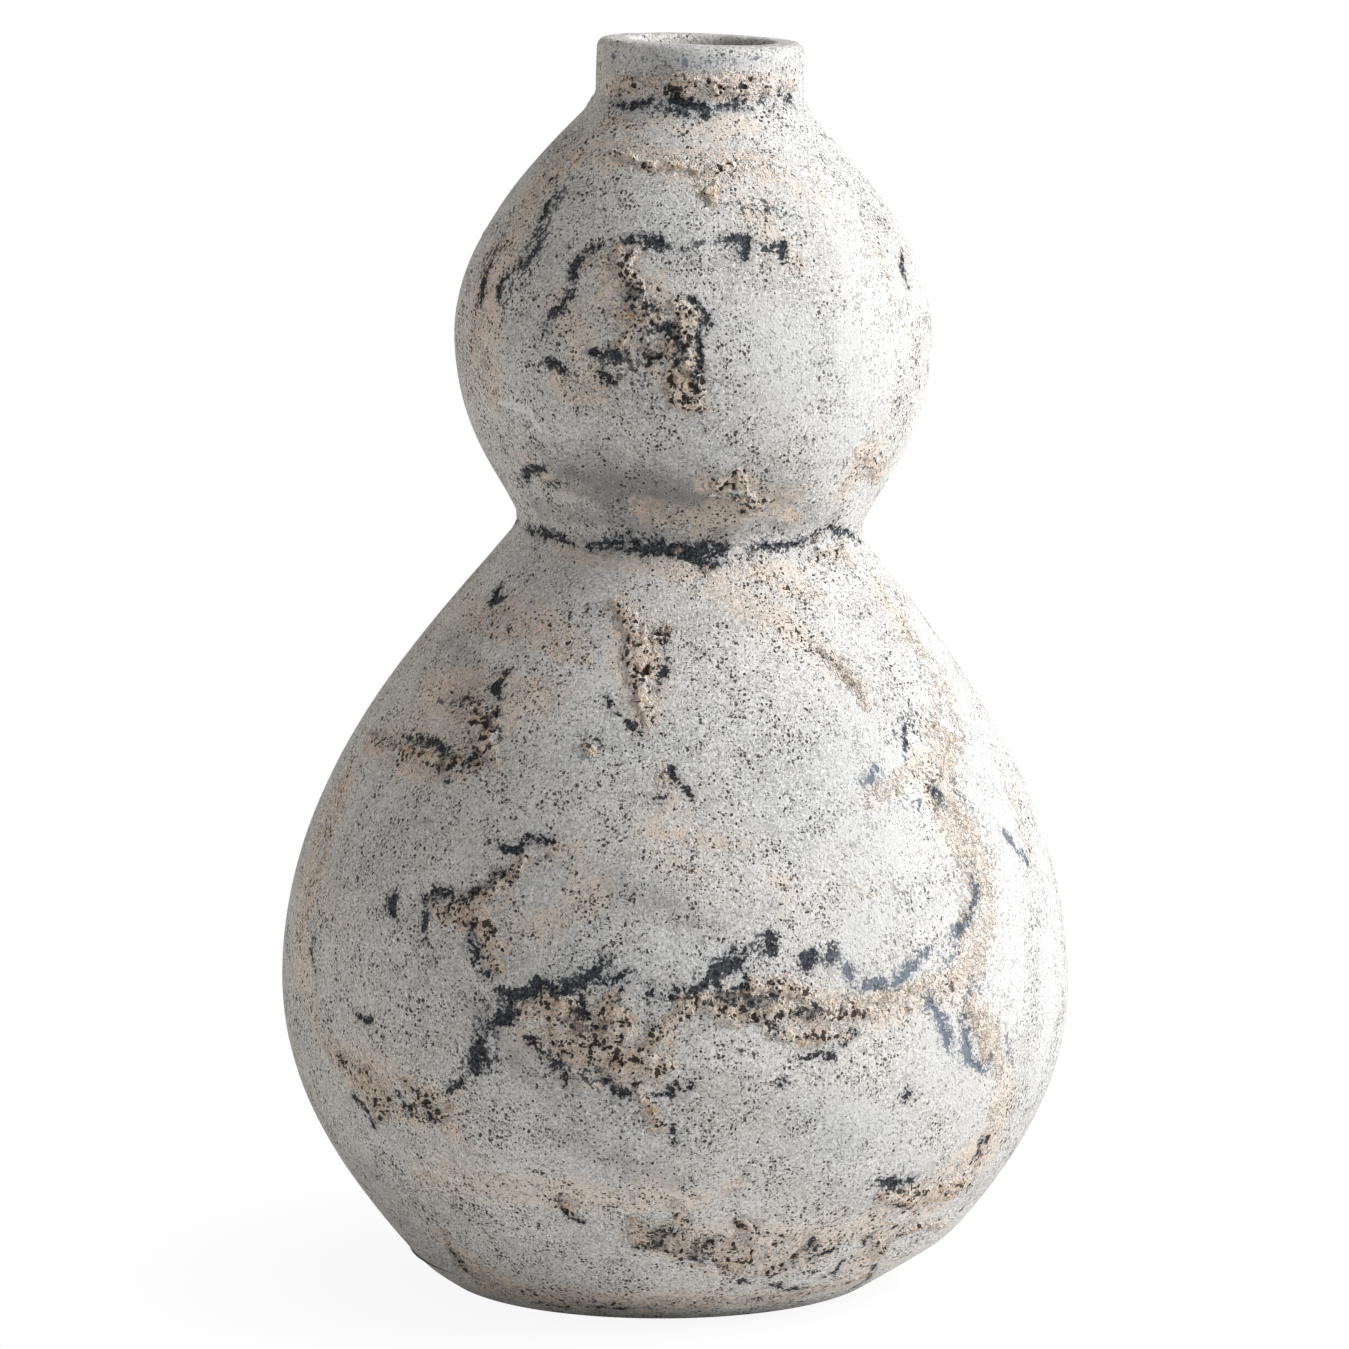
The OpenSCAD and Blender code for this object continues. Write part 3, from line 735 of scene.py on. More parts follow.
# Unseen bands: how many, and the lowest and highest of them, on each gourd
UNSEEN = ((22, 0.022, 0.215), (9, 0.268, 0.356))
UNSEEN_FROM = math.radians(2)
UNSEEN_TO = math.radians(178)
UNSEEN_SEED = 29
BAND_STEPS = (3, 4, 5, 8, 13)
BAND_TILT = 0.7
BAND_R = (0.0016, 0.0044)
BRANCH_STEPS = 4
BRANCH_TURN = 1.4
# A band is broken into runs of a few points: what share of them is left out
RUN_POINTS = 3
GAP_SHARE = 0.15
# Charcoal lines lie along the lower or the upper edge of a run
LINE_R = (0.0009, 0.0024)
LINE_SIDES = (-0.8, 0.9, 0.9)
LINE_SHARE = 0.7
# Long bands have a knot
LONG_BAND = 5
KNOT_R = (0.0045, 0.0080)
KNOT_LINE_RISE = 0.003
DUST_WIDTH = 2
SMOKE_WIDTH = 2.4


def lifted(points, rise):
    return points + np.array([0, 0, rise])


def unseen_strokes(surface):
    """Bands of crust, charcoal and stains on the sides and the back, in the manner of the front."""
    rng = random.Random(UNSEEN_SEED)
    laid = {name: [] for name in ("crust", "soot", "smoke", "stain", "dust")}
    for count, low, high in UNSEEN:
        for i in range(count):
            angle = UNSEEN_FROM + (UNSEEN_TO - UNSEEN_FROM) * (i + rng.random()) / count
            height = rng.uniform(low, high)
            base = rng.choice((0, math.pi)) + rng.uniform(-BAND_TILT, BAND_TILT)
            line = wander(surface, rng, angle, height, rng.choice(BAND_STEPS), base)
            if len(line) < 2:
                continue
            laid["stain"].append(Stroke(line, rng.uniform(*KNOT_R)))
            laid["dust"].append(Stroke(line, rng.uniform(*KNOT_R) * DUST_WIDTH))
            course = base + rng.choice((-BRANCH_TURN, BRANCH_TURN))
            branch = wander(surface, rng, angle, height, BRANCH_STEPS, course)
            starts = range(0, len(line) - 1, RUN_POINTS - 1)
            for run in [line[j:j + RUN_POINTS] for j in starts] + [branch]:
                if len(run) < 2 or rng.random() < GAP_SHARE:
                    continue
                radius = rng.uniform(*BAND_R)
                laid["crust"].append(Stroke(run, radius))
                edge = lifted(run, radius * rng.choice(LINE_SIDES))
                if rng.random() < LINE_SHARE:
                    laid["soot"].append(Stroke(edge, rng.uniform(*LINE_R)))
                laid["smoke"].append(Stroke(edge, rng.uniform(*LINE_R) * SMOKE_WIDTH))
            knot = line[rng.randrange(len(line) - 1):][:2]
            if len(line) >= LONG_BAND:
                laid["crust"].append(Stroke(knot, rng.uniform(*KNOT_R)))
                laid["soot"].append(Stroke(lifted(knot, KNOT_LINE_RISE), rng.uniform(*LINE_R)))
    return laid


def laid_strokes(surface, turn):
    """The strokes of each finish. A third of the unseen dust is grimy too, and a third washed."""
    unseen = unseen_strokes(surface)
    unseen["grime"] = unseen["dust"][::3]
    unseen["wash"] = unseen["dust"][1::3]
    return {name: seen_strokes(surface, turn, drawn) + unseen.get(name, [])
            for name, drawn in SEEN.items()}


def stroke_field(strokes, places):
    """How far each place lies inside the nearest stroke, negative outside, and at least -FAR."""
    field = np.full(len(places), -FAR)
    for stroke in strokes:
        reach = stroke.radius + FAR
        low = stroke.points.min(axis=0) - reach
        high = stroke.points.max(axis=0) + reach
        near = np.flatnonzero(np.all((places > low) & (places < high), axis=1))
        if not len(near):
            continue
        here = places[near]
        pieces = len(stroke.points) - 1
        for i in range(pieces):
            start = stroke.points[i]
            run = stroke.points[i + 1] - start
            share = np.clip((here - start) @ run / max(run @ run, DOUBLE**2), 0, 1)
            gap = np.linalg.norm(here - start - share[:, None] * run, axis=1)
            along = (i + share) / pieces
            radius = stroke.radius * (TAPER + (1 - TAPER) * np.sin(math.pi * along))
            field[near] = np.maximum(field[near], radius - gap)
    return field


# The finishes, painted shade and glare among them, in the order in which they are written into the
# mesh
FIELDS = ("crust", "soot", "smoke", "pit", "stain", "dust", "grime", "wash", "chip")
FIELD_PREFIX = "finish_"
# How their edges are torn, in wide and in fine drifts, as a size and a reach
TORN = (0.0065, 0.0015)
TORN_FINE = (0.0021, 0.0008)
CRUST_WAVE = (0.0006, 0.004, 5.7)
SOOT_WAVE = (0.0005, 0.003, 9.2)
# Cavities of the crust, how much of it they leave standing, and how sparse they are beside it
CAVITIES = ((1.7, 0.0019, 21.5), (0.9, 0.0010, 8.8))
CAVITY_SHARE = 0.78
CAVITY_DEPTH = 0.001
SPARSE = 0.0011
SPARSE_RAMP = (-0.001, 0.0004)


def finish_fields(places, strokes):
    """How deep each place lies inside each finish, in millimetres."""
    wide = drifted(places, *TORN)
    both = drifted(wide, *TORN_FINE)
    fine = drifted(places, *TORN_FINE)
    moved = {"crust": both, "soot": both, "smoke": both, "chip": fine}
    fields = {name: stroke_field(laid, moved.get(name, wide)) for name, laid in strokes.items()}
    fields["crust"] += waves(places, CRUST_WAVE)
    fields["soot"] += waves(places, SOOT_WAVE)
    cavity = (waves(places, *CAVITIES) - CAVITY_SHARE) * CAVITY_DEPTH
    fields["pit"] = cavity - SPARSE * (1 - smooth(fields["crust"], *SPARSE_RAMP))
    return {name: value * MM for name, value in fields.items()}


# Relief of the coat: heights and depths, and the ramps in millimetres that lead up and down to them
SWELLS = ((0.00045, 0.055, 2.3), (0.00010, 0.012, 7.9))
CRUST_RISE = 0.00115
CRUST_RAMP = (-0.35, 0.45)
CRUST_LEVEL = 0.75
CRUST_LUMPS = (0.60, 0.0034, 13.3)
SOOT_SINK = 0.0004
SOOT_RAMP = (-0.3, 0.4)
SOOT_UNDER_CRUST = 0.6
PIT_SINK = 0.0010
PIT_RAMP = (-0.25, 0.45)
PIT_BARE = 0.35
# Pits are shallower where glare and wash are painted
PIT_GLARED_AND_WASHED = 0.7
PIT_GLARE_AND_WASH_RAMP = (-3, 8)
CHIP_RISE = 0.0003
CHIP_RAMP = (-0.3, 0.3)


def relief(places, fields):
    """How far the finished surface stands out from the thrown wall."""
    crust = smooth(fields["crust"], *CRUST_RAMP)
    soot = smooth(fields["soot"], *SOOT_RAMP) * (1 - SOOT_UNDER_CRUST * crust)
    glared_and_washed = smooth(fields["wash"], *PIT_GLARE_AND_WASH_RAMP)
    pit = smooth(fields["pit"], *PIT_RAMP) * (1 - PIT_GLARED_AND_WASHED * glared_and_washed)
    height = waves(places, *SWELLS)
    height += CRUST_RISE * crust * (CRUST_LEVEL + waves(places, CRUST_LUMPS))
    height -= SOOT_SINK * soot
    height -= PIT_SINK * pit * (PIT_BARE + (1 - PIT_BARE) * crust)
    height += CHIP_RISE * smooth(fields["chip"], *CHIP_RAMP)
    return height


# Loops of the sections: points as radius, height, place along the curve, and a mark for the skin
MARKS = ("radius", "height", "along", "skin")
OFF_CURVE = -1.0
SKIN = 1.0
HIDDEN = 0.0


def keyed_points(inner, outer, height, middle):
    return [(inner, height), (middle - KEY_W, height), (middle, height - KEY_H),
            (middle + KEY_W, height), (outer, height)]


def skin_points(curve, spacing, start=0):
    steps = even_steps(curve, spacing, start)
    return [(r, z, t, SKIN) for (r, z), t in zip(curve_point(curve, steps), steps)]


def skin_loop(points):
    return [(r, z, OFF_CURVE, SKIN) for r, z in points]


def hidden_points(points):
    return [(r, z, OFF_CURVE, HIDDEN) for r, z in points]


def inner_line(curve, low_z, high_z, low_t, start):
    """The inner wall, from the lower seat to the upper one."""
    steps = np.linspace(start, 1, INNER_ROWS + 1)
    heading = curve_heading(curve, steps)
    inward = np.stack([-heading[:, 1], heading[:, 0]], axis=1)
    depth = low_t + (WALL_T - low_t) * steps
    line = curve_point(curve, steps) + depth[:, None] * inward
    line[0, 1] = low_z
    line[-1, 1] = high_z
    return [tuple(point) for point in line]


def inner_edge(curve, end):
    """The radius of the inner wall at one end of a curve."""
    return inner_line(curve, 0, 0, WALL_T, 0)[end][0]


def wall_loop(curve, spacing, top_key, low_key=None, start=0, low_t=WALL_T):
    """The loop of a thrown wall: skin, grooved top rim, inner wall and ridged lower rim."""
    top_r, top_z = curve[3]
    foot_r, foot_z = curve_point(curve, start)
    half_slip = SLIP_T / 2
    inner = inner_line(curve, foot_z + half_slip, top_z - half_slip, low_t, start)
    top = keyed_points(inner[-1][0], top_r - LAP, top_z - half_slip, top_key)[::-1]
    if low_key is None:
        foot = [inner[0], (foot_r - LAP, foot_z + half_slip)]
    else:
        foot = keyed_points(inner[0][0], foot_r - LAP, foot_z + half_slip, low_key)
    hidden = [(top_r - LAP, top_z)] + top + inner[-2:0:-1] + foot + [(foot_r - LAP, foot_z)]
    return skin_points(curve, spacing, start) + hidden_points(hidden)


def arc(centre, radius, start, end):
    angles = np.radians(np.linspace(start, end, EDGE_ROWS + 1))
    return [(centre[0] + radius * math.cos(a), centre[1] + radius * math.sin(a)) for a in angles]


def straight(start, end, spacing):
    """The points between two ends, without the ends."""
    steps = max(1, round(math.dist(start, end) / spacing))
    return [(start[0] + (end[0] - start[0]) * i / steps, start[1] + (end[1] - start[1]) * i / steps)
            for i in range(1, steps)]


def slab_loop():
    """The slab: flat underside, rounded edge, trimmed side and the face under the slip."""
    run = FOOT_EDGE * math.tan(FOOT_SLOPE / 2)
    turn = math.degrees(FOOT_SLOPE)
    middle = (0, 0)
    edge = arc((FOOT_R - run, FOOT_EDGE), FOOT_EDGE, -90, turn - 90)
    rim = (FOOT_R + FOOT_JOINT / math.tan(FOOT_SLOPE), FOOT_JOINT)
    skin = [middle] + straight(middle, edge[0], UNDERSIDE_ROW) + edge
    skin += straight(edge[-1], rim, SLAB_ROW) + [rim]
    inner = rim[0] - LAP
    top = [(inner, FOOT_JOINT), (inner, SLAB_T), (inner / 2, SLAB_T), (0, SLAB_T)]
    return skin_loop(skin) + hidden_points(top)


def collar_loop():
    """The neck: straight wall, rounded rim and mouth, standing on its ridge."""
    low = NECK_JOINT
    top = NECK_Z + NECK_H
    outer = arc((NECK_R - LIP_OUTER, top - LIP_OUTER), LIP_OUTER, 0, 90)
    inner = arc((MOUTH_R + LIP_INNER, top - LIP_INNER), LIP_INNER, 90, 180)
    foot = (NECK_SEAT_R, low)
    flare = (NECK_R, low + NECK_FLARE)
    end = (MOUTH_R, low + SLIP_T / 2)
    skin = [foot] + straight(foot, flare, NECK_ROW) + [flare] + straight(flare, outer[0], NECK_ROW)
    skin += outer + straight(outer[-1], inner[0], NECK_ROW)
    skin += inner + straight(inner[-1], end, 2 * NECK_ROW) + [end]
    key = keyed_points(HOLE_R, NECK_R - LAP, low + SLIP_T / 2, NECK_KEY)
    return skin_loop(skin) + hidden_points(key + [(NECK_R - LAP, low)])


def slip_loop(inner, wall_r, seat, key):
    """A keyed ring of slip, from the inner wall to just under the coat of the outer one."""
    low = keyed_points(inner, wall_r - LAP, seat, key)
    high = keyed_points(inner, wall_r - LAP, seat + SLIP_T, key)
    return hidden_points(low + high[::-1])


def foot_slip_loop():
    """The flat ring of slip between the slab and the lower bowl."""
    inner = HEEL_R - FOOT_WALL_T
    outer = FOOT_R + SLAB_T / math.tan(FOOT_SLOPE) - FOOT_LAP
    top = SLAB_T + SLIP_T
    return hidden_points([(inner, SLAB_T), (outer, SLAB_T), (outer, top), (inner, top)])


def crosses_columns(edge):
    """Whether an edge of a coarse turn runs from one column to the next."""
    start, end = (v.co.xy for v in edge.verts)
    return min(start.length, end.length) > DOUBLE and abs(start.angle_signed(end)) > math.pi / TURNS


def spun(loop, columns, closed=True):
    """A loop turned about the axis in a few steps, each then divided, with its marks kept."""
    mesh = bmesh.new()
    layers = [mesh.verts.layers.float.new(name) for name in MARKS]
    points = []
    for marks in loop:
        point = mesh.verts.new((marks[0], 0, marks[1]))
        for layer, mark in zip(layers, marks):
            point[layer] = mark
        points.append(point)
    ends = points[1:] + points[:1] if closed else points[1:]
    edges = [mesh.edges.new(pair) for pair in zip(points, ends)]
    bmesh.ops.spin(mesh, geom=points + edges, axis=(0, 0, 1), cent=(0, 0, 0), angle=2 * math.pi,
                   steps=TURNS, use_merge=True)
    if not closed:
        bmesh.ops.remove_doubles(mesh, verts=mesh.verts, dist=DOUBLE)
    across = [e for e in mesh.edges if crosses_columns(e)]
    bmesh.ops.subdivide_edges(mesh, edges=across, cuts=columns // TURNS - 1, use_grid_fill=True)
    for v in mesh.verts:
        angle = math.atan2(v.co.y, v.co.x)
        v.co = (v[layers[0]] * math.cos(angle), v[layers[0]] * math.sin(angle), v[layers[1]])
    bmesh.ops.recalc_face_normals(mesh, faces=mesh.faces)
    return mesh


# A thrown section: its own frame, the frames it is seated to below and above, and its outer curve
Section = namedtuple("Section", "name frame curve low_frame high_frame low_z high_z")
SEAT_BLEND = 0.018
FOOT_BLEND = 0.030
TRIM_BLEND = 0.0025
# How far from a joint the skin turns to face straight out
CREASE = 0.006
COLLAR_CREASE = CREASE / 3
# How the heel is slid to the foot: the step that measures its slope, and the rounds that it takes
SLIDE_STEP = 0.001
SLIDE_ROUNDS = 4
# The stretch of the heel, and a little below it, that the slab is cut to
HEEL_STRETCH = np.linspace(-0.2, 0.6, 200)
HEEL_STEPS = np.linspace(0, 1, CURVE_STEPS)
HEEL_START = float(np.interp(FOOT_JOINT, curve_point(HEEL_CURVE, HEEL_STEPS)[:, 1], HEEL_STEPS))


def on_axis(places, section, z):
    """Places of a section in its own frame, drawn to the frames below and above near its ends."""
    low = 1 - smooth(z, section.low_z, section.low_z + SEAT_BLEND)
    high = 1 - smooth(section.high_z - z, 0, SEAT_BLEND)
    own = placed(section.frame, places)
    mixed = own
    for weight, near in ((low, section.low_frame), (high, section.high_frame)):
        if near is not None:
            mixed = mixed + weight[:, None] * (placed(near, places) - own)
    return mixed


def turned(r, z, angle):
    return np.stack([r * np.cos(angle), r * np.sin(angle), z], axis=1)


def levelled(z, x):
    """How far the lean is taken out of the lower gourd's foot, so that it stands on the slab."""
    return (1 - smooth(z, FOOT_JOINT, FOOT_JOINT + FOOT_BLEND)) * x * math.sin(LEAN)


def slid_to_foot(curve, t, angle):
    """Places along the heel that bring the lower bowl's rim level with the slab."""
    r, z = curve_point(curve, t).T
    aim = placed(LOWER_FRAME, turned(r, z, angle))[:, 2] + levelled(z, r * np.cos(angle))
    for _ in range(SLIDE_ROUNDS):
        height = placed(LOWER_FRAME, turned(*curve_point(curve, t).T, angle))[:, 2]
        ahead = placed(LOWER_FRAME, turned(*curve_point(curve, t + SLIDE_STEP).T, angle))[:, 2]
        t = t - (height - aim) * SLIDE_STEP / (ahead - height)
    return t


def rim_slide(r, z, angle):
    """How far the hidden points of the lower bowl's rim move out or in with its skin."""
    start = np.full(len(r), HEEL_START)
    rim = curve_point(HEEL_CURVE, HEEL_START)[0]
    slide = curve_point(HEEL_CURVE, slid_to_foot(HEEL_CURVE, start, angle))[:, 0] - rim
    near_rim = 1 - smooth(z, FOOT_JOINT, FOOT_JOINT + CREASE)
    return slide * smooth(r, rim - FOOT_WALL_T, rim - LAP) * near_rim


def excess(gap):
    """A soft measure of how far a place lies outside a cut."""
    return (gap + np.sqrt(gap * gap + TRIM_BLEND**2)) / 2


def trimmed(places):
    """Places brought in to the cone that the foot is trimmed to."""
    out = places[:, :2] - np.array([FOOT_SHIFT, 0])
    r = np.linalg.norm(out, axis=1)
    cut = excess(r - FOOT_R - places[:, 2] / math.tan(FOOT_SLOPE))
    places = places.copy()
    places[:, :2] -= out / r[:, None] * cut[:, None]
    return places


def heel_cut(places):
    """Places of the slab brought in to the thrown wall above them."""
    own = placed(LOWER_FRAME.inverted(), places)
    r = np.maximum(np.hypot(own[:, 0], own[:, 1]), DOUBLE)
    line = curve_point(HEEL_CURVE, HEEL_STRETCH)
    cut = excess(r - np.interp(own[:, 2], line[:, 1], line[:, 0]))
    own[:, :2] *= (1 - cut / r)[:, None]
    return placed(LOWER_FRAME, own)


def section_places(mesh, section):
    """Where each point of a section lies before its finish, and which way its finish stands out."""
    layers = [mesh.verts.layers.float[name] for name in MARKS[:3]]
    r, z, t = np.array([[v[layer] for layer in layers] for v in mesh.verts]).T
    angle = np.array([math.atan2(v.co.y, v.co.x) for v in mesh.verts])
    curved = t > OFF_CURVE / 2
    out = turned(np.ones(len(r)), np.zeros(len(r)), angle)
    ways = out.copy()
    if section.curve is not None:
        if section.name == "lower_bowl":
            t[curved] = slid_to_foot(section.curve, t[curved], angle[curved])
            r[~curved] += rim_slide(r, z, angle)[~curved]
        r[curved], z[curved] = curve_point(section.curve, t[curved]).T
        heading = curve_heading(section.curve, t[curved])
        ways[curved] = turned(heading[:, 1], -heading[:, 0], angle[curved])
    else:
        mesh.normal_update()
        ways = np.array([v.normal[:] for v in mesh.verts])
    places = on_axis(turned(r, z, angle), section, z)
    if section.name == "lower_bowl":
        places[~curved, 2] += levelled(z, r * np.cos(angle))[~curved]
        places = trimmed(places)
    if section.name == "base_slab":
        places = heel_cut(places) * np.array([1, 1, 0]) + places * np.array([0, 0, 1])
        ways = out
    elif section.name == "neck_collar":
        free = smooth(z - section.low_z, 0, COLLAR_CREASE)
        ways = out + (ways - out) * free[:, None]
    else:
        free = smooth(z - section.low_z, 0, CREASE)
        free = np.minimum(free, smooth(section.high_z - z, 0, CREASE))
        ways = out + (ways - out) * free[:, None]
    ways /= np.maximum(np.linalg.norm(ways, axis=1, keepdims=True), DOUBLE)
    return places, ways


# Edges of the mesh are halved where the crust and the charcoal need it, from these depths on
FINE_CRUST = -1.3
FINE_SOOT = -0.9
# The coat fills the creases of the waist and of the neck's joint
FILL = 0.0011
FILL_REACH = 0.0035


def shown_points(mesh):
    """The points of a section that lie in its skin."""
    mark = mesh.verts.layers.float["skin"]
    return {v for v in mesh.verts if v[mark] > SKIN / 2}


def halve_where_crusted(mesh, section, strokes):
    places = drifted(section_places(mesh, section)[0], *TORN)
    crust = stroke_field(strokes["crust"], places) * MM
    soot = stroke_field(strokes["soot"], places) * MM
    skin = shown_points(mesh)
    wanted = [v in skin and (c > FINE_CRUST or s > FINE_SOOT)
              for v, c, s in zip(mesh.verts, crust, soot)]
    mesh.verts.index_update()
    edges = [e for e in mesh.edges if wanted[e.verts[0].index] and wanted[e.verts[1].index]]
    bmesh.ops.subdivide_edges(mesh, edges=edges, cuts=1, use_grid_fill=True)


def mark_hidden_faces(mesh):
    """The inner wall and the joint faces take the second finish, and the rims stay sharp."""
    skin = shown_points(mesh)
    shown = [all(v in skin for v in face.verts) for face in mesh.faces]
    coated = {v for face in mesh.faces if any(v in skin for v in face.verts) for v in face.verts}
    for face in mesh.faces:
        face.smooth = True
        face.material_index = 0 if any(v in coated for v in face.verts) else 1
    mesh.faces.index_update()
    for edge in mesh.edges:
        if len({shown[face.index] for face in edge.link_faces}) > 1:
            edge.smooth = False


def dress(mesh, section, strokes):
    """Gives a section its relief, and writes the finish at each point into the mesh."""
    halve_where_crusted(mesh, section, strokes)
    places, ways = section_places(mesh, section)
    fields = finish_fields(places, strokes)
    skin = shown_points(mesh)
    height = relief(places, fields)
    for seat, joint in ((LOWER_FRAME, WAIST_Z), (NECK_FRAME, NECK_JOINT)):
        gap = np.abs(placed(seat.inverted(), places)[:, 2] - joint)
        height += FILL * (1 - smooth(gap, 0, FILL_REACH))
    height *= smooth(places[:, 2], 0, FOOT_EDGE) * np.array([v in skin for v in mesh.verts])
    places += ways * height[:, None]
    for v, place in zip(mesh.verts, places.tolist()):
        v.co = place
    for name in FIELDS:
        layer = mesh.verts.layers.float.new(FIELD_PREFIX + name)
        for v, value in zip(mesh.verts, fields[name].tolist()):
            v[layer] = value
    mark_hidden_faces(mesh)


def finished(mesh, name, slot, *materials):
    """The object of a piece, standing for its node and riding with the vase."""
    piece = added_mesh(name, mesh, *materials)
    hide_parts(name.replace("_coated", ""))
    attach(piece, "root")


# Nodes of the finishes
NOISE_MIDDLE = (0.5, 0.5, 0.5)
TEAR_DETAIL = 2.0
MIX_FACTOR, MIX_A, MIX_B, MIX_RESULT = 0, 6, 7, 2


def node(tree, kind, inputs, **settings):
    """A new node with its settings, whose inputs are linked to sockets or set to values."""
    made = tree.nodes.new(kind)
    for name, value in settings.items():
        setattr(made, name, value)
    for socket, value in inputs.items():
        if isinstance(value, bpy.types.NodeSocket):
            tree.links.new(value, made.inputs[socket])
        else:
            made.inputs[socket].default_value = value
    return made


def noise_of(tree, vector, scale, detail=3.0, roughness=0.6):
    """Noise of a scale, a detail and a roughness."""
    inputs = {"Vector": vector, "Scale": scale, "Detail": detail, "Roughness": roughness}
    return node(tree, "ShaderNodeTexNoise", inputs).outputs["Fac"]


def eased(tree, value, low, high, start=0.0, end=1.0):
    """From start, below low, to end, above high, with an even change between."""
    inputs = {"Value": value, "From Min": low, "From Max": high, "To Min": start, "To Max": end}
    ramp = node(tree, "ShaderNodeMapRange", inputs, interpolation_type="SMOOTHSTEP")
    return ramp.outputs["Result"]


def scaled(tree, value, factor, shift=0.0):
    """A value times a factor, plus a shift."""
    made = node(tree, "ShaderNodeMath", {0: value, 1: factor, 2: shift}, operation="MULTIPLY_ADD")
    return made.outputs[0]


def reckoned(tree, operation, value, *others):
    """A value taken with each of the others in turn."""
    for other in others:
        value = node(tree, "ShaderNodeMath", {0: value, 1: other}, operation=operation).outputs[0]
    return value


def sum_of(tree, *values):
    return reckoned(tree, "ADD", *values)


def most_of(tree, *values):
    return reckoned(tree, "MAXIMUM", *values)


def times(tree, *values):
    return reckoned(tree, "MULTIPLY", *values)


def less(tree, *values):
    return reckoned(tree, "SUBTRACT", *values)


def layered(tree, colour, *layers):
    """A colour under others, each laid on as far as its own mask says."""
    for mask, tone in layers:
        inputs = {MIX_FACTOR: mask, MIX_A: colour, MIX_B: tone}
        colour = node(tree, "ShaderNodeMix", inputs, data_type="RGBA").outputs[MIX_RESULT]
    return colour


def object_place(tree):
    return tree.nodes.new("ShaderNodeTexCoord").outputs["Object"]


def mapped(tree, place, **settings):
    return node(tree, "ShaderNodeMapping", {"Vector": place, **settings}).outputs[0]


def attribute(tree, name):
    return node(tree, "ShaderNodeAttribute", {}, attribute_name=FIELD_PREFIX + name).outputs["Fac"]


def new_group(name, inputs, outputs):
    """A node group with its named sockets, ready to be filled."""
    tree = bpy.data.node_groups.new(name, "ShaderNodeTree")
    for socket, kind in inputs.items():
        tree.interface.new_socket(name=socket, in_out="INPUT", socket_type=kind)
    for socket in outputs:
        tree.interface.new_socket(name=socket, in_out="OUTPUT", socket_type="NodeSocketFloat")
    return tree, tree.nodes.new("NodeGroupInput").outputs


def close_group(tree, values):
    node(tree, "NodeGroupOutput", values)
    return tree


def use_group(tree, group, **inputs):
    return node(tree, "ShaderNodeGroup", inputs, node_tree=group).outputs


def shifted(tree, place, scale, reach):
    """Places pushed about by noise, so that cells drawn there lose their round outline."""
    noise = node(tree, "ShaderNodeTexNoise", {"Vector": place, "Scale": scale, "Detail": 1.0})
    centred = node(tree, "ShaderNodeVectorMath", {0: noise.outputs["Color"], 1: NOISE_MIDDLE},
                   operation="SUBTRACT")
    moved = node(tree, "ShaderNodeVectorMath", {0: centred.outputs[0], 1: (reach,) * 3, 2: place},
                 operation="MULTIPLY_ADD")
    return moved.outputs[0]


def holes_of(tree, place, openness, scale, small, large):
    """Round holes, one to a cell, from small to large, as the depth inside them."""
    cells = node(tree, "ShaderNodeTexVoronoi", {"Vector": place, "Scale": scale})
    size = node(tree, "ShaderNodeSeparateColor", {"Color": cells.outputs["Color"]}).outputs["Red"]
    radius = sum_of(tree, eased(tree, size, 0.0, 1.0, small, large), openness)
    return less(tree, radius, cells.outputs["Distance"])


def torn(tree, place, depth, *tears):
    """A depth in millimetres, torn by noise, each tear with a fineness and a reach."""
    for fineness, reach in tears:
        noise = noise_of(tree, place, fineness, TEAR_DETAIL)
        depth = sum_of(tree, depth, scaled(tree, noise, 2 * reach, -reach))
    return depth


# Grain of the fired clay
SPECK_SCALE = 1.4
SPECK_NOISE = (3.0, 0.75)
MOTTLE_SCALE = 0.42
MOTTLE_NOISE = (4.0, 0.7)
GRAIN_SHIFT = (900.0, 0.0012)
CROWD_NOISE = (95.0, 3.0, 0.6)
CROWD_RAMP = (0.35, 0.65, -0.16, 0.10)
FINE_SCALE = 1.7
FINE_HOLES = (-0.30, 0.42)
FINE_EDGE = (-0.08, 0.08, 0.0, 0.85)
FINE_RIM_HIGHLIGHT = (-0.30, -0.10)
COARSE_SCALE = 0.95
COARSE_HOLES = (-0.50, 0.37)
COARSE_EDGE = (-0.07, 0.07)
COARSE_RIM_HIGHLIGHT = (-0.34, -0.10)


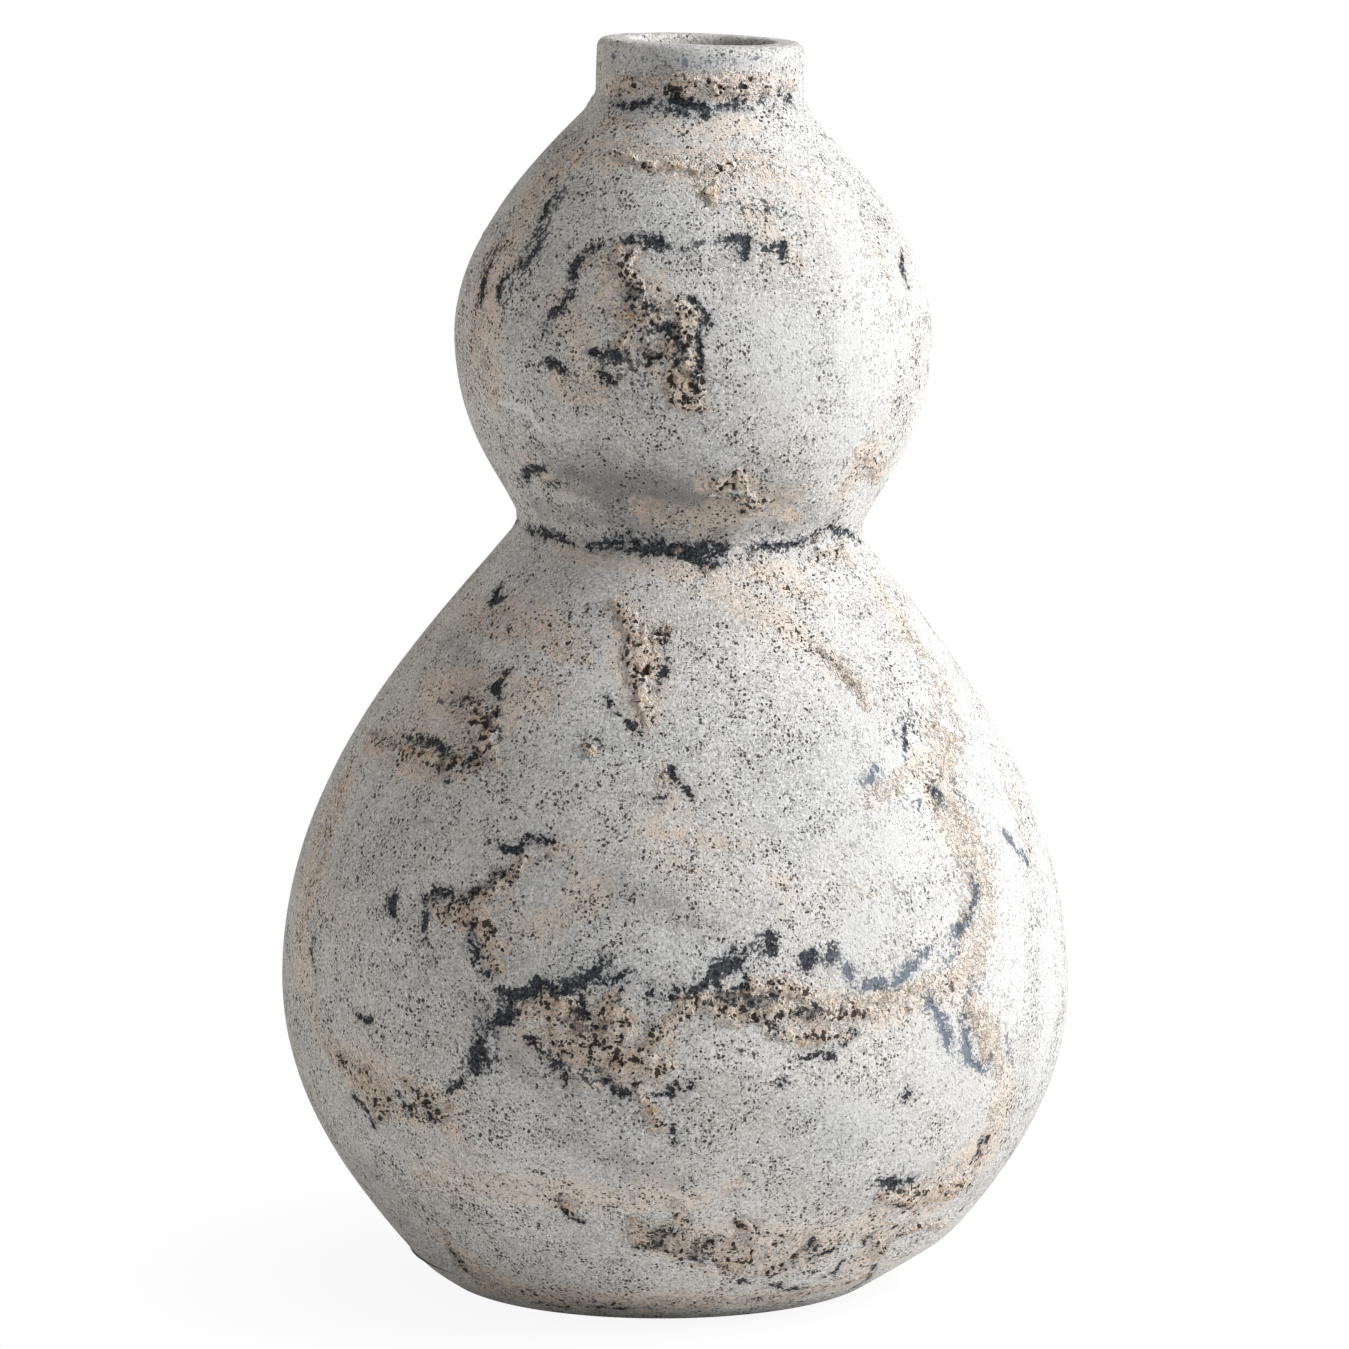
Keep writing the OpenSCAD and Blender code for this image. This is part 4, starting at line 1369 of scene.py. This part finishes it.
def grain_group():
    """Fired clay grain: specks, ragged pinholes with painted highlights on their rims, and the
    height of it all.
    """
    tree, given = new_group(
        "clay_grain",
        {"Place": "NodeSocketVector", "Fineness": "NodeSocketFloat", "Openness": "NodeSocketFloat"},
        ("Speck", "Mottle", "Pinhole", "Rim", "Height"))
    place = given["Place"]
    fineness = given["Fineness"]
    speck = noise_of(tree, place, times(tree, fineness, SPECK_SCALE), *SPECK_NOISE)
    mottle = noise_of(tree, place, times(tree, fineness, MOTTLE_SCALE), *MOTTLE_NOISE)
    ragged = shifted(tree, place, *GRAIN_SHIFT)
    crowd = eased(tree, noise_of(tree, place, *CROWD_NOISE), *CROWD_RAMP)
    opened = sum_of(tree, crowd, given["Openness"])
    fine = holes_of(tree, ragged, opened, times(tree, fineness, FINE_SCALE), *FINE_HOLES)
    coarse = holes_of(tree, ragged, opened, times(tree, fineness, COARSE_SCALE), *COARSE_HOLES)
    pinhole = most_of(tree, eased(tree, fine, *FINE_EDGE), eased(tree, coarse, *COARSE_EDGE))
    # Painted highlight on the rims of the pinholes
    rim = most_of(tree, eased(tree, fine, *FINE_RIM_HIGHLIGHT), eased(tree, coarse, *COARSE_RIM_HIGHLIGHT))
    height = less(tree, sum_of(tree, speck, mottle), pinhole)
    return close_group(tree, {"Speck": speck, "Mottle": mottle, "Pinhole": pinhole, "Rim": rim,
                              "Height": height})


# Slow changes over the clay
WARM_NOISE = (20.0, 5.0, 0.68)
WARM_RAMP = (0.40, 0.64)
PALE_MOVE = (0.7, 0.3, 0.1)
PALE_NOISE = (34.0, 5.0, 0.68)
PALE_RAMP = (0.42, 0.66)
BAND_SCALE = (14.0, 14.0, 210.0)
BAND_NOISE = (1.0, 4.0, 0.7)
CLOUD_SCALE = (1.0, 1.0, 2.6)
CLOUD_NOISE = (13.0, 5.0, 0.6)


def drift_group():
    """Slow changes over the clay: warm and pale clouds, faint level bands and dark level clouds."""
    tree, given = new_group(
        "clay_drift", {"Place": "NodeSocketVector"}, ("Warm", "Pale", "Band", "Cloud"))
    place = given["Place"]
    moved = mapped(tree, place, Location=PALE_MOVE)
    return close_group(tree, {
        "Warm": eased(tree, noise_of(tree, place, *WARM_NOISE), *WARM_RAMP),
        "Pale": eased(tree, noise_of(tree, moved, *PALE_NOISE), *PALE_RAMP),
        "Band": noise_of(tree, mapped(tree, place, Scale=BAND_SCALE), *BAND_NOISE),
        "Cloud": noise_of(tree, mapped(tree, place, Scale=CLOUD_SCALE), *CLOUD_NOISE),
    })


def new_material(name):
    material = bpy.data.materials.new(name)
    material.use_nodes = True
    tree = material.node_tree
    return material, tree, tree.nodes["Principled BSDF"]


def surfaced(tree, shader, colour, height, strength, distance, roughness, shine):
    """Gives a clay its colour and bump, with its dull surface."""
    inputs = {"Height": height, "Strength": strength, "Distance": distance}
    bump = node(tree, "ShaderNodeBump", inputs)
    tree.links.new(colour, shader.inputs["Base Color"])
    tree.links.new(bump.outputs["Normal"], shader.inputs["Normal"])
    shader.inputs["Roughness"].default_value = roughness
    shader.inputs["Specular IOR Level"].default_value = shine


def grey(level):
    return (level, level, level, 1)


# Colours of the clay and its finish
COAT_COOL = (0.585, 0.588, 0.580, 1)
COAT_WARM = (0.640, 0.595, 0.545, 1)
COAT_PALE = (0.780, 0.775, 0.760, 1)
# Pale specks of the grain, and the painted highlights on the rims of the pinholes and the crust
COAT_WHITE = (0.940, 0.935, 0.925, 1)
COAT_DARK = (0.270, 0.262, 0.252, 1)
# Near-black of the pinholes, partly painted shade in them, and the dark grain of the crust
PINHOLE_TONE = (0.070, 0.052, 0.041, 1)
PEACH = (0.830, 0.645, 0.490, 1)
PEACH_PALE = (0.910, 0.795, 0.685, 1)
OCHRE = (0.500, 0.310, 0.160, 1)
# Painted highlight round the crust's holes
CRUST_HOLE_HIGHLIGHT = (0.930, 0.850, 0.760, 1)
# Near-black of the pits and of the raw clay's pinholes, partly painted shade in them
PIT_TONE = (0.040, 0.028, 0.022, 1)
CHARCOAL = (0.018, 0.020, 0.025, 1)
SLATE = (0.110, 0.128, 0.150, 1)
# Charcoal and smoke painted pale under the painted glare
SMOKE_GLARED_AND_WASHED = (0.200, 0.235, 0.285, 1)
SPECK_DARK = (0.150, 0.144, 0.138, 1)
# Crust painted pale under the painted glare
PEACH_GLARED_AND_WASHED = (0.900, 0.790, 0.690, 1)
# Pale grey of the painted glare on the lit side, and of the wash
GLARE_AND_WASH_TONE = (0.660, 0.662, 0.655, 1)
# Dark grey of the painted shade and the darker patches
SHADE_AND_DARKENING_TONE = (0.185, 0.180, 0.172, 1)
CHIP_WHITE = (0.860, 0.855, 0.835, 1)
RAW_CLAY = (0.300, 0.170, 0.115, 1)
RAW_CLAY_DARK = (0.190, 0.115, 0.085, 1)
SLIP_TONE = (0.090, 0.085, 0.082, 1)
SLIP_DARK = (0.045, 0.043, 0.043, 1)

# The grey wash
PALE_SHARE = 0.55
BAND_RAMP = (0.40, 0.75, 0.0, 0.30)
CLOUD_RAMP = (0.34, 0.56, 0.26, 0.0)
MOTTLE_DARK = (0.28, 0.50, 0.50, 0.0)
MOTTLE_PALE = (0.52, 0.74, 0.0, 0.60)
SPECK_LOW = (0.27, 0.49, 0.92, 0.0)
SPECK_HIGH = (0.50, 0.70, 0.0, 0.95)


def coat_colour(tree, fine, slow):
    """The grey wash: cool and warm clouds, pale bands and a salt and pepper grain."""
    return layered(
        tree, COAT_COOL,
        (slow["Warm"], COAT_WARM),
        (scaled(tree, slow["Pale"], PALE_SHARE), COAT_PALE),
        (eased(tree, slow["Band"], *BAND_RAMP), COAT_PALE),
        (eased(tree, slow["Cloud"], *CLOUD_RAMP), COAT_DARK),
        (eased(tree, fine["Mottle"], *MOTTLE_DARK), COAT_DARK),
        (eased(tree, fine["Mottle"], *MOTTLE_PALE), COAT_PALE),
        (eased(tree, fine["Speck"], *SPECK_LOW), SPECK_DARK),
        (eased(tree, fine["Speck"], *SPECK_HIGH), COAT_WHITE))


# Colour of the crust
TONE_NOISE = (210.0, 4.0, 0.7)
TONE_PALE = (0.38, 0.62)
TONE_OCHRE = (0.44, 0.30, 0.0, 0.8)
TONE_SPECK = (0.32, 0.50, 0.6, 0.0)
TONE_MOTTLE = (0.55, 0.75, 0.0, 0.5)


def crust_colour(tree, place, fine):
    """The peach crust: pale and ochre lumps with dark grain between them."""
    tone = noise_of(tree, place, *TONE_NOISE)
    return layered(
        tree, PEACH,
        (eased(tree, tone, *TONE_PALE), PEACH_PALE),
        (eased(tree, tone, *TONE_OCHRE), OCHRE),
        (eased(tree, fine["Speck"], *TONE_SPECK), PINHOLE_TONE),
        (eased(tree, fine["Mottle"], *TONE_MOTTLE), PEACH_PALE))


# Where the crust lies: drawn patches, flecks in the stains, and crumbs strewn over the coat
CRUST_SPREAD = 1.1
CRUST_TEARS = ((230.0, 4.4), (640.0, 3.2))
CRUST_EDGE = (-0.2, 0.35)
FLECK_DEPTH = (0.5, -1.4)
FLECK_TEARS = ((330.0, 6.0), (900.0, 3.8))
CRUMB_NOISE = (60.0, 3.0, 0.6)
CRUMB_RAMP = (0.38, 0.62, -2.6, -0.7)
CRUMB_DUST = (-3.0, 8.0, -2.0, 0.3)
CRUMB_TEARS = ((460.0, 5.0), (1000.0, 3.6))


def crust_mask(tree, place, depths, crust_depth):
    """How far the crust covers each place: drawn crust, flecks and crumbs together."""
    flecks = torn(tree, place, scaled(tree, depths["stain"], *FLECK_DEPTH), *FLECK_TEARS)
    patchy = eased(tree, noise_of(tree, place, *CRUMB_NOISE), *CRUMB_RAMP)
    crumbs = sum_of(tree, patchy, eased(tree, depths["dust"], *CRUMB_DUST))
    crumbs = torn(tree, place, crumbs, *CRUMB_TEARS)
    return eased(tree, most_of(tree, crust_depth, flecks, crumbs), *CRUST_EDGE)


# Peach tint of the stains and the dust
TINT_TEARS = ((120.0, 5.0), (500.0, 4.0))
TINT_RAMP = (-2.5, 4.0, 0.0, 0.76)
VEIL_TEARS = ((90.0, 8.0), (300.0, 6.0))
VEIL_RAMP = (-3.5, 8.0, 0.0, 0.46)


def tint_mask(tree, place, depths):
    """How far each place is tinted: fully in the stains, and thinly in the dust."""
    tint = eased(tree, torn(tree, place, depths["stain"], *TINT_TEARS), *TINT_RAMP)
    veil = eased(tree, torn(tree, place, depths["dust"], *VEIL_TEARS), *VEIL_RAMP)
    return most_of(tree, tint, veil)


# Pits of the crust: how they crowd near it, their holes and their ragged cavities
PITS_BY_CRUST = (-2.6, 0.8, -0.55, 0.0)
PITS_BY_STAIN = (-2.0, 2.5, -0.50, -0.12)
PITS_BY_DUST = (-3.0, 8.0, -0.50, -0.20)
PIT_SHIFT = (420.0, 0.0022)
PIT_CROWD = (0.35, 0.65, -0.22, 0.12)
PIT_CROWD_SCALE = 170.0
WIDE_HOLES = (420.0, -0.10, 0.44)
WIDE_EDGE = (-0.05, 0.05)
SMALL_HOLES = (760.0, -0.15, 0.48)
SMALL_EDGE = (-0.08, 0.08)
# A painted highlight round the holes
HOLE_RIM_HIGHLIGHT = (-0.26, -0.08, 0.0, 0.75)
HOLLOW_NOISE = (520.0, 3.0, 0.6)
HOLLOW_CROWD = 0.7
HOLLOW_EDGE = (0.615, 0.64)
DEEP_TEAR = (1000.0, 0.9)
DEEP_EDGE = (0.0, 0.25)


def pit_masks(tree, place, depths):
    """The pits, and the painted highlights on the rims round their holes."""
    near = most_of(tree, eased(tree, depths["crust"], *PITS_BY_CRUST),
                   eased(tree, depths["stain"], *PITS_BY_STAIN),
                   eased(tree, depths["dust"], *PITS_BY_DUST))
    crowd = sum_of(tree, near, eased(tree, noise_of(tree, place, PIT_CROWD_SCALE), *PIT_CROWD))
    ragged = shifted(tree, place, *PIT_SHIFT)
    wide = holes_of(tree, ragged, crowd, *WIDE_HOLES)
    small = holes_of(tree, ragged, crowd, *SMALL_HOLES)
    hollow = sum_of(tree, noise_of(tree, place, *HOLLOW_NOISE), scaled(tree, near, HOLLOW_CROWD))
    pits = most_of(tree, eased(tree, hollow, *HOLLOW_EDGE), eased(tree, wide, *WIDE_EDGE),
                   eased(tree, small, *SMALL_EDGE),
                   eased(tree, torn(tree, place, depths["pit"], DEEP_TEAR), *DEEP_EDGE))
    return pits, eased(tree, most_of(tree, wide, small), *HOLE_RIM_HIGHLIGHT)


# The parts painted with glare on the lit side and wash, and with shade and darker patches, and how
# far the painted glare and wash take each finish away
GLARE_AND_WASH_TEARS = ((90.0, 8.0), (400.0, 4.0))
GLARE_AND_WASH_RAMP = (-3.0, 11.0)
GLARE_AND_WASH_SHARE = 0.80
SHADE_AND_DARKENING_TEARS = ((110.0, 9.0), (420.0, 5.0))
SHADE_AND_DARKENING_RAMP = (-4.0, 18.0)
SHADE_AND_DARKENING_SHARE = 0.82
GLARE_AND_WASH_FADE_RAMP = (0.0, 0.6, 0.0, 0.92)
CRUST_GLARE_AND_WASH_FADE = 0.88
# How far the painted highlight on pinhole rims shows
RIM_HIGHLIGHT_SHARE = 0.20
# Painted highlight: white along the edges of the crust, fading inward
CRUST_RIM_HIGHLIGHT = (0.3, 1.8, 0.75, 0.0)
GLARED_AND_WASHED_TINT = (-0.75, 1.0)
GLARED_AND_WASHED_PINHOLES = (-0.62, 0.96)
GLARED_AND_WASHED_RIM = (-0.8, 1.0)
GLARED_AND_WASHED_PITS = (-0.55, 0.94)
GLARED_AND_WASHED_OCHRE = 0.9

# Charcoal, smoke and chips
SOOT_SPREAD = 0.3
SOOT_TEARS = ((300.0, 2.6), (820.0, 3.6))
SOOT_EDGE = (-0.25, 0.30)
SOOT_HAZE = (-2.4, 0.2, 0.0, 0.38)
BURNT_SPECK = (0.48, 0.68)
UNDER_CRUST = (1.2, 3.2, 0.96, 0.32)
SMOKE_DEPTH = (0.8, -1.6)
SMOKE_MOST = -0.15
SMOKE_TEARS = ((420.0, 5.2), (950.0, 4.6))
SMOKE_RAMP = (-0.5, 0.7, 0.0, 0.86)
FUME_RAMP = (0.2, 1.6)
CHIP_TEAR = (700.0, 1.2)
CHIP_EDGE = (-0.15, 0.2, 0.0, 0.85)

# Bump of the coat
LUMP_GRAIN = (520.0, 3.0, 0.65)
LUMP_BUMP = 9.0
CRUST_BUMP = 0.6
PIT_BUMP = 3.0
SOOT_BUMP = 0.9
COAT_FINENESS = 780.0
COAT_SURFACE = (1.0, 0.0005, 0.92, 0.12)


def coat_material(grain, drift):
    """The fired coat: grey clay wash, peach crust with pits, charcoal and chips, with painted shade
    and darker patches, painted glare on the lit side, painted highlights on rims, and holes painted
    partly in shade.
    """
    material, tree, shader = new_material("fired_coat")
    place = object_place(tree)
    fine = use_group(tree, grain, Place=place, Fineness=COAT_FINENESS, Openness=0.0)
    slow = use_group(tree, drift, Place=place)
    depths = {name: attribute(tree, name) for name in FIELDS}
    crust_depth = torn(tree, place, scaled(tree, depths["crust"], 1.0, CRUST_SPREAD), *CRUST_TEARS)
    crust = crust_mask(tree, place, depths, crust_depth)
    pit, hole_rim_highlight = pit_masks(tree, place, depths)
    # Painted glare on the lit right side, and wash: paler coat, fainter grain, pits, tint and
    # charcoal
    glared_and_washed = eased(tree, torn(tree, place, depths["wash"], *GLARE_AND_WASH_TEARS), *GLARE_AND_WASH_RAMP)
    # Painted shade under the cup, in the waist crease and in the mouth, and darker patches
    shaded_and_darkened = eased(tree, torn(tree, place, depths["grime"], *SHADE_AND_DARKENING_TEARS), *SHADE_AND_DARKENING_RAMP)
    glare_and_wash_fade = eased(tree, glared_and_washed, *GLARE_AND_WASH_FADE_RAMP)
    tint = times(tree, tint_mask(tree, place, depths), scaled(tree, glared_and_washed, *GLARED_AND_WASHED_TINT))
    # Painted highlight along the crust's edges, fainter under the painted glare
    crust_rim_highlight = times(tree, crust, eased(tree, crust_depth, *CRUST_RIM_HIGHLIGHT),
                      scaled(tree, glared_and_washed, *GLARED_AND_WASHED_RIM))
    # The pits' near-black, partly painted shade, turns ochre under the painted glare
    pit_tone = layered(tree, PIT_TONE, (scaled(tree, glared_and_washed, GLARED_AND_WASHED_OCHRE), OCHRE))
    colour = layered(
        tree, coat_colour(tree, fine, slow),
        (scaled(tree, shaded_and_darkened, SHADE_AND_DARKENING_SHARE), SHADE_AND_DARKENING_TONE),
        (scaled(tree, glared_and_washed, GLARE_AND_WASH_SHARE), GLARE_AND_WASH_TONE),
        (tint, PEACH),
        # Painted highlight on the pinholes' rims
        (scaled(tree, fine["Rim"], RIM_HIGHLIGHT_SHARE), COAT_WHITE),
        (times(tree, fine["Pinhole"], scaled(tree, glared_and_washed, *GLARED_AND_WASHED_PINHOLES)), PINHOLE_TONE),
        (crust, crust_colour(tree, place, fine)),
        (times(tree, crust, scaled(tree, glare_and_wash_fade, CRUST_GLARE_AND_WASH_FADE)), PEACH_GLARED_AND_WASHED),
        (crust_rim_highlight, COAT_WHITE),
        # Painted highlight round the crust's holes
        (times(tree, crust, hole_rim_highlight), CRUST_HOLE_HIGHLIGHT),
        (times(tree, pit, scaled(tree, glared_and_washed, *GLARED_AND_WASHED_PITS)), pit_tone))

    sooted = torn(tree, place, scaled(tree, depths["soot"], 1.0, SOOT_SPREAD), *SOOT_TEARS)
    soot = eased(tree, sooted, *SOOT_EDGE)
    fumed = reckoned(tree, "MINIMUM", scaled(tree, depths["smoke"], *SMOKE_DEPTH), SMOKE_MOST)
    smoked = torn(tree, place, fumed, *SMOKE_TEARS)
    under = eased(tree, crust_depth, *UNDER_CRUST)
    chip = torn(tree, place, depths["chip"], CHIP_TEAR)
    haze_tone = layered(tree, SLATE, (glare_and_wash_fade, SMOKE_GLARED_AND_WASHED))
    burnt = layered(tree, CHARCOAL, (eased(tree, fine["Speck"], *BURNT_SPECK), SLATE),
                    (glare_and_wash_fade, SMOKE_GLARED_AND_WASHED))
    fume = layered(tree, SLATE, (eased(tree, smoked, *FUME_RAMP), CHARCOAL), (glare_and_wash_fade, SMOKE_GLARED_AND_WASHED))
    colour = layered(
        tree, colour,
        (eased(tree, sooted, *SOOT_HAZE), haze_tone),
        (times(tree, soot, under), burnt),
        (times(tree, eased(tree, smoked, *SMOKE_RAMP), under), fume),
        (eased(tree, chip, *CHIP_EDGE), CHIP_WHITE))

    lumps = scaled(tree, noise_of(tree, place, *LUMP_GRAIN), LUMP_BUMP)
    height = sum_of(tree, fine["Height"], times(tree, crust, sum_of(tree, lumps, CRUST_BUMP)))
    height = less(tree, height, scaled(tree, pit, PIT_BUMP), scaled(tree, soot, SOOT_BUMP))
    surfaced(tree, shader, colour, height, *COAT_SURFACE)
    return material


# The clay under the coat
PLAIN_OPENNESS = -0.1
PLAIN_SPECK = (0.35, 0.6, 0.5, 0.0)
PLAIN_SURFACE = (0.6, 0.0003, 0.95, 0.1)
RAW_FINENESS = 700.0
SLIP_FINENESS = 900.0


def plain_clay(name, light, dark, grain, drift, fineness):
    """A clay that the coat hides: the raw inside, and the slip in the joints."""
    material, tree, shader = new_material(name)
    place = object_place(tree)
    fine = use_group(tree, grain, Place=place, Fineness=fineness, Openness=PLAIN_OPENNESS)
    slow = use_group(tree, drift, Place=place)
    colour = layered(
        tree, light,
        (slow["Warm"], dark),
        (eased(tree, fine["Speck"], *PLAIN_SPECK), dark),
        (fine["Pinhole"], PIT_TONE))
    surfaced(tree, shader, colour, fine["Height"], *PLAIN_SURFACE)
    return material


# Floor and light
FLOOR_R = 7.0
FLOOR_SIDES = 128
FLOOR_TONE = 0.90
# How much of the shaded paper shows under the vase, and from where to where that fades out
SHADOW_SHARE = 0.09
SHADOW_FADE = (0.06, 0.22)
# How strongly the white surround lights the vase
AMBIENT = 0.30


def unlit_rays(tree):
    """1 for the rays that see the white background, 0 for those that carry its light."""
    path = tree.nodes.new("ShaderNodeLightPath").outputs
    return most_of(tree, path["Is Camera Ray"], path["Is Glossy Ray"], path["Is Transmission Ray"])


def make_floor():
    """Pale paper that shows white, but for the vase's shadow near its foot."""
    mesh = bmesh.new()
    bmesh.ops.create_circle(mesh, cap_ends=True, segments=FLOOR_SIDES, radius=FLOOR_R)
    material, tree, shader = new_material("floor_paper")
    shader.inputs["Base Color"].default_value = grey(FLOOR_TONE)
    shader.inputs["Roughness"].default_value = 1.0
    shader.inputs["Specular IOR Level"].default_value = 0.0
    white = node(tree, "ShaderNodeEmission", {"Color": grey(1.0), "Strength": 1.0})
    reach = node(tree, "ShaderNodeVectorMath", {0: object_place(tree)}, operation="LENGTH")
    far = eased(tree, reach.outputs["Value"], *SHADOW_FADE, 1 - SHADOW_SHARE, 1.0)
    share = times(tree, far, unlit_rays(tree))
    mixed = node(tree, "ShaderNodeMixShader", {0: share, 1: shader.outputs[0], 2: white.outputs[0]})
    tree.links.new(mixed.outputs[0], tree.nodes["Material Output"].inputs["Surface"])
    floor = added_mesh("floor", mesh, material)


def make_world():
    """A white surround that lights the vase softly."""
    world = bpy.data.worlds.new("studio")
    bpy.context.scene.world = world
    world.use_nodes = True
    tree = world.node_tree
    strength = scaled(tree, unlit_rays(tree), 1 - AMBIENT, AMBIENT)
    background = tree.nodes["Background"]
    background.inputs["Color"].default_value = grey(1.0)
    tree.links.new(strength, background.inputs["Strength"])


# Lamps: the angle to the right of the camera, height, distance, size, power and colour
KEY_LAMP = ("key_lamp", 80, 1.45, 1.9, 1.2, 71, (1.0, 1.0, 1.0))
EDGE_LAMP = ("edge_lamp", -104, 0.30, 2.2, 1.0, 10, (1.0, 0.86, 0.72))


def make_lamp(name, azimuth, height, distance, size, power, tone):
    """A soft box that faces the middle of the vase."""
    data = bpy.data.lights.new(name, "AREA")
    data.shape = "SQUARE"
    data.size = size
    data.energy = power
    data.color = tone
    lamp = added(name, data)
    turn = math.radians(azimuth)
    lamp.location = (distance * math.sin(turn), -distance * math.cos(turn), height)
    facing(lamp, Vector((0, 0, (cad_low.z + cad_high.z) / 2)))


# The making of the scene
camera = make_camera()
GRAIN = grain_group()
DRIFT = drift_group()
COAT = coat_material(GRAIN, DRIFT)
RAW = plain_clay("raw_clay", RAW_CLAY, RAW_CLAY_DARK, GRAIN, DRIFT, RAW_FINENESS)
SLIP = plain_clay("joint_slip", SLIP_TONE, SLIP_DARK, GRAIN, DRIFT, SLIP_FINENESS)

STROKES = laid_strokes(cad_surface(), camera.rotation_euler.to_matrix())
SECTIONS = (
    (Section("base_slab", FOOT_FRAME, None, None, None, 0, FOOT_JOINT), slab_loop(), False),
    (Section("lower_bowl", LOWER_FRAME, HEEL_CURVE, None, None, FOOT_JOINT, BELLY_Z),
     wall_loop(HEEL_CURVE, LOWER_ROW, BELLY_KEY, None, HEEL_START, FOOT_WALL_T), True),
    (Section("lower_dome", LOWER_FRAME, DOME_CURVE, None, None, BELLY_Z, WAIST_Z),
     wall_loop(DOME_CURVE, LOWER_ROW, WAIST_KEY, BELLY_KEY), True),
    (Section("upper_bowl", UPPER_FRAME, CUP_CURVE, LOWER_FRAME, None, WAIST_Z, UPPER_Z),
     wall_loop(CUP_CURVE, UPPER_ROW, SHOULDER_KEY, WAIST_KEY), True),
    (Section("upper_dome", UPPER_FRAME, SHOULDER_CURVE, None, NECK_FRAME, UPPER_Z, NECK_JOINT),
     wall_loop(SHOULDER_CURVE, UPPER_ROW, NECK_KEY, SHOULDER_KEY), True),
    (Section("neck_collar", NECK_FRAME, None, None, None, NECK_JOINT, NECK_Z + NECK_H),
     collar_loop(), True),
)
for section, loop, closed in SECTIONS:
    shell = spun(loop, COLUMNS, closed)
    dress(shell, section, STROKES)
    finished(shell, section.name + "_coated", "fired_coat", COAT, RAW)

SLIP_RINGS = (
    ("belly_slip", LOWER_FRAME,
     slip_loop(inner_edge(DOME_CURVE, 0), BELLY_R, BELLY_Z - SLIP_T / 2, BELLY_KEY)),
    ("waist_slip", LOWER_FRAME,
     slip_loop(inner_edge(DOME_CURVE, -1), WAIST_R, WAIST_Z - SLIP_T / 2, WAIST_KEY)),
    ("shoulder_slip", UPPER_FRAME,
     slip_loop(inner_edge(SHOULDER_CURVE, 0), UPPER_R, UPPER_Z - SLIP_T / 2, SHOULDER_KEY)),
    ("neck_slip", NECK_FRAME, slip_loop(HOLE_R, NECK_R, NECK_Z, NECK_KEY)),
    ("foot_slip", FOOT_FRAME, foot_slip_loop()),
)
for name, frame_of_ring, loop in SLIP_RINGS:
    ring = spun(loop, SLIP_COLUMNS)
    bmesh.ops.transform(ring, matrix=frame_of_ring, verts=ring.verts)
    finished(ring, name + "_coated", "joint_slip", SLIP)

make_floor()
make_world()
make_lamp(*KEY_LAMP)
make_lamp(*EDGE_LAMP)
bpy.context.scene.view_settings.view_transform = "Standard"
